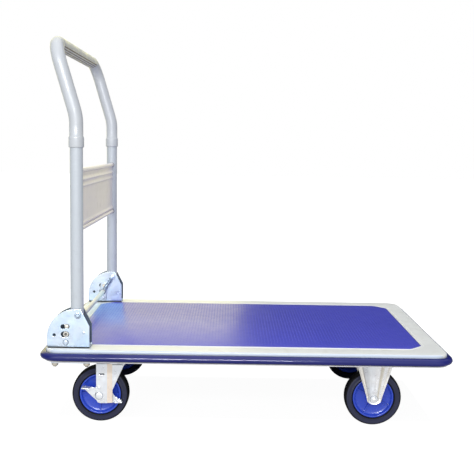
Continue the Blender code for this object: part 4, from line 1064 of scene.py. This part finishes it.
def build_fixed_castor(side, suffix):
    centre = side * TRACK_Y
    x0 = FIXED_AXLE.x
    columns, foot_rows, rows = 44, 12, 56
    low, high = FIXED_LOW.z, PLATE_HIGH.z - SHEET
    turns = [math.pi / 2 * i / foot_rows for i in range(foot_rows)]
    heights = [low + (WHEEL_RADIUS - low) * (1 - math.cos(turn)) for turn in turns]
    heights += [WHEEL_RADIUS + (high - WHEEL_RADIUS) * i / rows for i in range(rows + 1)]
    bm = bmesh.new()
    for leg in (-1, 1):
        loops = []
        for z in heights:
            half = fixed_half_width(z)
            across = [half * math.sin(math.pi / 2 * (2 * i / columns - 1)) for i in range(columns + 1)]
            front = [(x0 + x, centre + leg * (LEG_INNER + LEG_SHEET + fixed_relief(x, z)), z) for x in across]
            back = [(x0 + x, centre + leg * (LEG_INNER + fixed_relief(x, z)), z) for x in across[::-1]]
            loops.append(front + back)
        skin(bm, loops)
    add_castor_plate(bm, x0, centre)
    finish_piece("fixed_housing_" + suffix, bm, "housing", "deck", ["fixed_fork_" + suffix])
    build_plate_bolts("fixed_plate_bolts_" + suffix, x0, centre)
    head = [(8.4, 0.1), (8.4, 0.5), (6.8, 0.6), (6.4, 1.9), (5.2, 3.4), (3.2, 4.4), (1.0, 4.7)]
    reach = (LEG_INNER + LEG_SHEET) / MM
    build_axle(x0, side, "fixed_axle_round_" + suffix, "deck", "fixed_axle_" + suffix, reach, head)
    build_wheel(x0, side, "fixed", suffix, 62.0)


def build_swivel_castor(side, suffix):
    centre = side * TRACK_Y
    king = (KINGPIN.x, centre)
    body = "swivel_" + suffix
    left, foot, crown = FORK_LOW.x, FORK_LOW.z, KINGPIN.z
    base = LEG_INNER + LEG_SHEET
    rise, face_width = 2.2 * MM, 25 * MM
    raised = base + rise

    def at(across, up):
        """A point on the leg from its place, in millimetres, behind the left edge and above the foot."""
        return (left + across * MM, foot + up * MM)

    heel = [(left, crown), at(0.0, 8.0), at(3.0, 2.0), at(8.0, 0.0)]
    leg_outline = heel + [at(27.0, 0.0), at(33.0, 4.0), at(35.0, 10.0), at(35.0, 26.0),
                          (left + 62.5 * MM, crown - 3 * MM), (left + 63 * MM, crown)]
    face = heel + [(left + face_width, foot), (left + face_width, crown)]
    slot_z, rivet_z = 116 * MM, 84 * MM
    slot = stadium((left + 7.6 * MM, slot_z), (left + 17.2 * MM, slot_z), 1.5 * MM, 8)
    step = mm([(-1.0, -0.2), (-1.0, 2.1), (0.6, 1.8), (10.8, 0.25), (11.8, -0.2)])
    bm, panels, slopes = bmesh.new(), bmesh.new(), bmesh.new()
    for leg in (-1, 1):
        plate(bm, leg_outline, "Y", centre + leg * LEG_INNER, centre + leg * base, [slot], 0.5 * MM)
        plate(panels, face, "Y", centre + leg * (base - 0.2 * MM), centre + leg * raised, [slot], 0.5 * MM)
        section = [(left + face_width + x, centre + leg * (base + y)) for x, y in step]
        skin(slopes, [[(x, y, z) for x, y in section] for z in (foot + 0.4 * MM, crown)])
    crown_plate = rounded(rectangle(32.5 * MM, base, (left + 32.5 * MM, centre)), 5 * MM, 6)
    plate(bm, crown_plate, "Z", crown - SHEET, crown, edge=0.8 * MM)
    race = [(21.5, 138.6), (27.0, 138.6), (27.3, 140.4), (27.3, 147.2), (26.4, 149.0), (24.6, 149.9),
            (22.4, 149.9), (21.5, 148.8)]
    turned(bm, mm(race), "Z", king, 40, ring=True)
    finish_piece("swivel_housing_" + suffix, bm, "castor", body, ["swivel_fork_" + suffix])
    dome = mm([(4.2, 0.0), (4.2, 0.5), (3.4, 1.2), (1.6, 1.6)])
    for cheek in (-1, 1):
        stations = [(r, centre + cheek * (raised + y)) for r, y in dome]
        turned(panels, stations, "Y", (left + 6.5 * MM, rivet_z))
    finish_piece("swivel_cheeks_" + suffix, panels, "castor", body)
    # The bent steps take the tan zinc: painted warm reflection.
    finish_piece("swivel_steps_" + suffix, slopes, "strip", body)

    bm = bmesh.new()
    add_castor_plate(bm, *king)
    cup = [(19.5, 142.7), (19.5, 150.2), (20.4, 151.4), (30.0, 152.0), (31.0, 153.2), (31.4, 157.2)]
    turned(bm, mm(cup), "Z", king, 40)
    node = "swivel_plate_" + suffix
    finish_piece("swivel_top_plate_" + suffix, bm, "castor", "deck", [node])
    bm = bmesh.new()
    hex_body(bm, *king, KING_LOW.z, KING_LOW.z + 3.8 * MM, 10 * MM)
    turned(bm, [(6 * MM, KING_LOW.z + 3 * MM), (6 * MM, KING_HIGH.z)], "Z", king)
    finish_piece("kingpin_bolt_" + suffix, bm, "steel", "deck", ["kingpin_" + suffix])
    build_plate_bolts("swivel_plate_bolts_" + suffix, *king)

    head = [(8.0, 0.05), (8.0, 0.5), (7.4, 0.6), (7.2, 1.2), (6.4, 1.7), (4.6, 1.9), (1.2, 2.0)]
    name, node = "swivel_axle_round_" + suffix, "swivel_axle_" + suffix
    build_axle(SWIVEL_AXLE.x, side, name, body, node, raised / MM, head)
    build_wheel(SWIVEL_AXLE.x, side, "swivel", suffix, -91.0)
    build_pedal(side, suffix)


def build_pedal(side, suffix):
    """A rocker brake pedal: a toothed plate with a ribbed tread bent out at each end."""
    centre = side * TRACK_Y
    face, back = centre - 22.5 * MM, centre - 20 * MM
    left, right, low, high = PEDAL_LOW.x, PEDAL_HIGH.x, PEDAL_LOW.z, PEDAL_HIGH.z
    axle = (SWIVEL_AXLE.x, SWIVEL_AXLE.z)

    def from_axle(points):
        """Points from millimetres along the floor from the axle and above the floor."""
        return [(axle[0] + x, z) for x, z in mm(points)]

    outline = [(left, 83.5 * MM)] + from_axle([(-16.0, 60.0), (-8.0, 53.0), (4.0, 48.5)])
    outline += [(axle[0] + 44 * MM, low + 0.2 * MM), (right, 49 * MM), (right - 0.5 * MM, 51.5 * MM)]
    outline += from_axle([(45.0, 56.5), (41.5, 57.0), (39.0, 60.5), (35.5, 61.2), (33.0, 64.5),
                          (28.0, 72.0), (16.0, 82.0), (-10.0, 83.0), (-13.5, 81.2), (-17.0, 83.8),
                          (-21.0, 82.2), (-25.0, 84.8), (-28.5, 83.5), (-32.0, 86.0)])
    outline.append((axle[0] - 36 * MM, high - 0.2 * MM))
    bm = bmesh.new()
    plate(bm, outline, "Y", face, back, [circle(axle, 10.4 * MM)], 0.45 * MM)
    toe = ((left + 0.4 * MM, 83.8 * MM), (left + 18.5 * MM, 82.6 * MM), centre - 40 * MM)
    heel = (*from_axle([(35.5, 48.4)]), (right, 49.2 * MM), centre - 30 * MM)
    ribs, rib_steps = 5, 4
    for start, end, outer in (toe, heel):
        top = []
        for i in range(ribs * rib_steps + 1):
            x, z = Vector(start).lerp(Vector(end), i / (ribs * rib_steps))
            top.append((x, z + (2.7 if i % rib_steps in (1, 2) else 2.2) * MM))
        plate(bm, [start, end] + top[::-1], "Y", outer, back - 1 * MM, edge=0.3 * MM)
    cam = [(r, back + y) for r, y in mm([(10.6, -1.0), (14.5, -1.0), (14.5, 1.0), (13.8, 1.2), (10.6, 1.2)])]
    turned(bm, cam, "Y", axle, ring=True)
    finish_piece("pedal_" + suffix, bm, "castor", "brake_" + suffix, ["brake_pedal_" + suffix])


# ---------------------------------------------------------------- stage

WHITE = (1.0, 1.0, 1.0)
WINDOW_YELLOW = (1.0, 0.93, 0.44)
SHADE = (0.02, 0.02, 0.03)
WINDOW_EDGE = 0.02  # where the window ends and the flag begins, along X
CAMERA_PLACE = (-0.0416, -2.0008, 0.6414)
CAMERA_TURN = (0.0088, 0.1149, 0.0171)  # yaw, pitch and roll in radians, fitted to the photo
CAMERA_LENS = 61.25
CAMERA_SENSOR = 36.0


def emission(name, colour, strength, one_sided=False, diffuse=0.0):
    """A glowing material, with some diffuse white if asked; a one-sided one is clear from behind."""
    material = bpy.data.materials.new(name)
    material.use_nodes = True
    tree = material.node_tree
    tree.nodes.clear()
    front = add_node(tree, "Emission", {"Color": (*colour, 1.0), "Strength": strength}).outputs["Emission"]
    if diffuse:
        matt = add_node(tree, "BsdfDiffuse", {"Color": (diffuse, diffuse, diffuse, 1.0)}).outputs["BSDF"]
        front = add_node(tree, "AddShader", {0: front, 1: matt}).outputs["Shader"]
    if one_sided:
        clear = add_node(tree, "BsdfTransparent").outputs["BSDF"]
        behind = add_node(tree, "NewGeometry").outputs["Backfacing"]
        front = add_node(tree, "MixShader", {"Fac": behind, 1: front, 2: clear}).outputs["Shader"]
    add_node(tree, "OutputMaterial", {"Surface": front})
    return material


def stage_object(name, mesh, material):
    mesh.materials.append(material)
    thing = bpy.data.objects.new(name, mesh)
    bpy.context.scene.collection.objects.link(thing)
    return thing


def see(thing, camera, diffuse, glossy):
    """Choose which rays a staged thing shows to; none of them lets it cast a shadow."""
    thing.visible_camera = camera
    thing.visible_diffuse = diffuse
    thing.visible_glossy = glossy
    thing.visible_transmission = False
    thing.visible_shadow = False


def sheet(name, corners, material):
    mesh = bpy.data.meshes.new(name)
    mesh.from_pydata(corners, [], [(0, 1, 2, 3)])
    return stage_object(name, mesh, material)


def card(name, across, up, y, material, diffuse=False):
    """An upright studio card, facing along Y, that the camera doesn't see."""
    corners = [(across[0], up[0]), (across[1], up[0]), (across[1], up[1]), (across[0], up[1])]
    see(sheet(name, [(x, y, z) for x, z in corners], material), False, diffuse, True)


def floor_sheet(name, half_x, half_y, z, material):
    return sheet(name, [(x, y, z) for x, y in rectangle(half_x, half_y)], material)


def build_stage():
    pale = emission("floor_pale", WHITE, 0.97, one_sided=True, diffuse=0.25)
    see(floor_sheet("floor", 14.0, 14.0, 0.0, pale), True, False, False)
    glow = emission("floor_glow", (1.0, 0.99, 0.98), 0.60)
    see(floor_sheet("floor_glow", 1.0, 1.0, -0.5 * MM, glow), False, True, True)

    bm = bmesh.new()
    bmesh.ops.create_icosphere(bm, subdivisions=4, radius=20.0)
    mesh = bpy.data.meshes.new("backdrop")
    bm.to_mesh(mesh)
    bm.free()
    see(stage_object("backdrop", mesh, emission("backdrop_white", WHITE, 1.0)), True, False, False)

    # Behind the trolley: a window, whose sheen lies on the left half of the mat, and a dark flag.
    card("window", (-2.6, WINDOW_EDGE), (0.20, 4.0), 1.9, emission("window_warm", WINDOW_YELLOW, 1.9))
    card("flag", (WINDOW_EDGE, 3.0), (0.20, 4.0), 1.9, emission("flag_dark", (0.10, 0.10, 0.12), 0.3))
    strip = emission("strip_white", (0.90, 0.93, 1.0), 150.0)
    card("strip_glint", (-0.80, 0.35), (1.28, 1.42), -2.4, strip)
    across, middle = (BRACKET_LOW.x, BRACKET_HIGH.x + 6 * MM), BRACKET_LOW.z + 62 * MM
    beside = POST_Y - CHEEK_OUTER - 22 * MM
    cyan = emission("glint_cyan", (0.50, 0.86, 0.95), 1.7, one_sided=True)
    card("glint_low", across, (BRACKET_LOW.z, middle), beside, cyan)
    warm = emission("glint_warm", WINDOW_YELLOW, 1.7, one_sided=True)
    card("glint_high", across, (middle, middle + 90 * MM), beside, warm)
    # Dark sheets under the deck, seen only by bounce rays: painted shade on the far wheels' inner faces.
    dark = emission("under_floor_dark", SHADE, 0.1)
    see(floor_sheet("under_floor", PAN_HIGH.x, TRACK_Y - 12 * MM, 1 * MM, dark), False, True, True)
    for side, suffix in SIDES:
        up = (4 * MM, PLATE_LOW.z - 2 * MM)
        shade = emission("under_shade_" + suffix, SHADE, 0.1)
        card("under_" + suffix, (PAN_LOW.x, PAN_HIGH.x), up, side * (TRACK_Y - 55 * MM), shade, diffuse=True)


def build_world():
    """Soft room light: bright in front and overhead and dim at the sides, so that round edges turn dark."""
    world = bpy.data.worlds.new("room")
    bpy.context.scene.world = world
    world.use_nodes = True
    tree = world.node_tree
    split = add_node(tree, "SeparateXYZ", {"Vector": add_node(tree, "TexCoord").outputs["Generated"]})
    front = map_range(tree, split.outputs["Y"], -0.85, -0.30, 1.30, 0.30, interpolation_type="SMOOTHSTEP")
    overhead = map_range(tree, split.outputs["Z"], 0.35, 0.95, 0.0, 0.70, interpolation_type="SMOOTHSTEP")
    total = add_node(tree, "Math", {0: front, 1: overhead})
    background = tree.nodes["Background"].inputs
    background["Color"].default_value = (0.96, 0.98, 1.0, 1.0)
    tree.links.new(total.outputs["Value"], background["Strength"])


def area_light(name, location, aim, size, watts):
    data = bpy.data.lights.new(name, "AREA")
    data.shape = "RECTANGLE"
    data.size, data.size_y = size
    data.energy = watts
    lamp = bpy.data.objects.new(name, data)
    bpy.context.scene.collection.objects.link(lamp)
    lamp.location = location
    lamp.rotation_euler = (Vector(aim) - Vector(location)).to_track_quat("-Z", "Y").to_euler()
    lamp.visible_camera = False


def build_lights():
    area_light("key", (-1.2, -2.2, 2.6), (0.0, 0.0, 0.3), (2.0, 1.6), 4.0)
    area_light("top", (0.2, 0.1, 2.6), (0.0, 0.0, 0.2), (2.4, 2.0), 12.0)
    area_light("strip", (-0.85, -2.4, 1.35), (-0.3, 0.0, 0.18), (2.3, 0.10), 10.0)


def build_camera():
    """The camera stands in front of the trolley's long side, slightly above the deck."""
    yaw, pitch, roll = CAMERA_TURN
    ahead = Vector((math.sin(yaw) * math.cos(pitch), math.cos(yaw) * math.cos(pitch), -math.sin(pitch)))
    right = Vector((math.cos(yaw), -math.sin(yaw), 0.0))
    up = right.cross(ahead)
    level_right = right * math.cos(roll) + up * math.sin(roll)
    level_up = up * math.cos(roll) - right * math.sin(roll)
    data = bpy.data.cameras.new("camera")
    data.lens = CAMERA_LENS
    data.sensor_width = CAMERA_SENSOR
    camera = bpy.data.objects.new("camera", data)
    bpy.context.scene.collection.objects.link(camera)
    turn = Matrix((level_right, level_up, -ahead)).transposed()
    camera.matrix_world = Matrix.Translation(CAMERA_PLACE) @ turn.to_4x4()
    bpy.context.scene.camera = camera


def dress_cad_nodes():
    """Finishes for the CAD nodes that stay as they are: the channels under the deck."""
    looks = {"rail_right": "cream", "rail_left": "cream", "cross_channel": "cream",
             "bracket_backing_right": "zinc", "bracket_backing_left": "zinc"}
    for name, look in looks.items():
        mesh = frame["nodes"][name].data
        mesh.materials.clear()
        mesh.materials.append(LOOK[look])


def build_all():
    bpy.context.scene.view_settings.view_transform = "Standard"
    build_camera()
    build_stage()
    build_world()
    build_lights()
    build_pan()
    build_mat()
    build_bumper()
    build_handle()
    build_panel()
    build_release_bar()
    for side, suffix in SIDES:
        build_bracket(side, suffix)
        build_bracket_bolts(suffix)
        build_spring(side, suffix)
        build_fixed_castor(side, suffix)
        build_swivel_castor(side, suffix)
    dress_cad_nodes()


build_all()
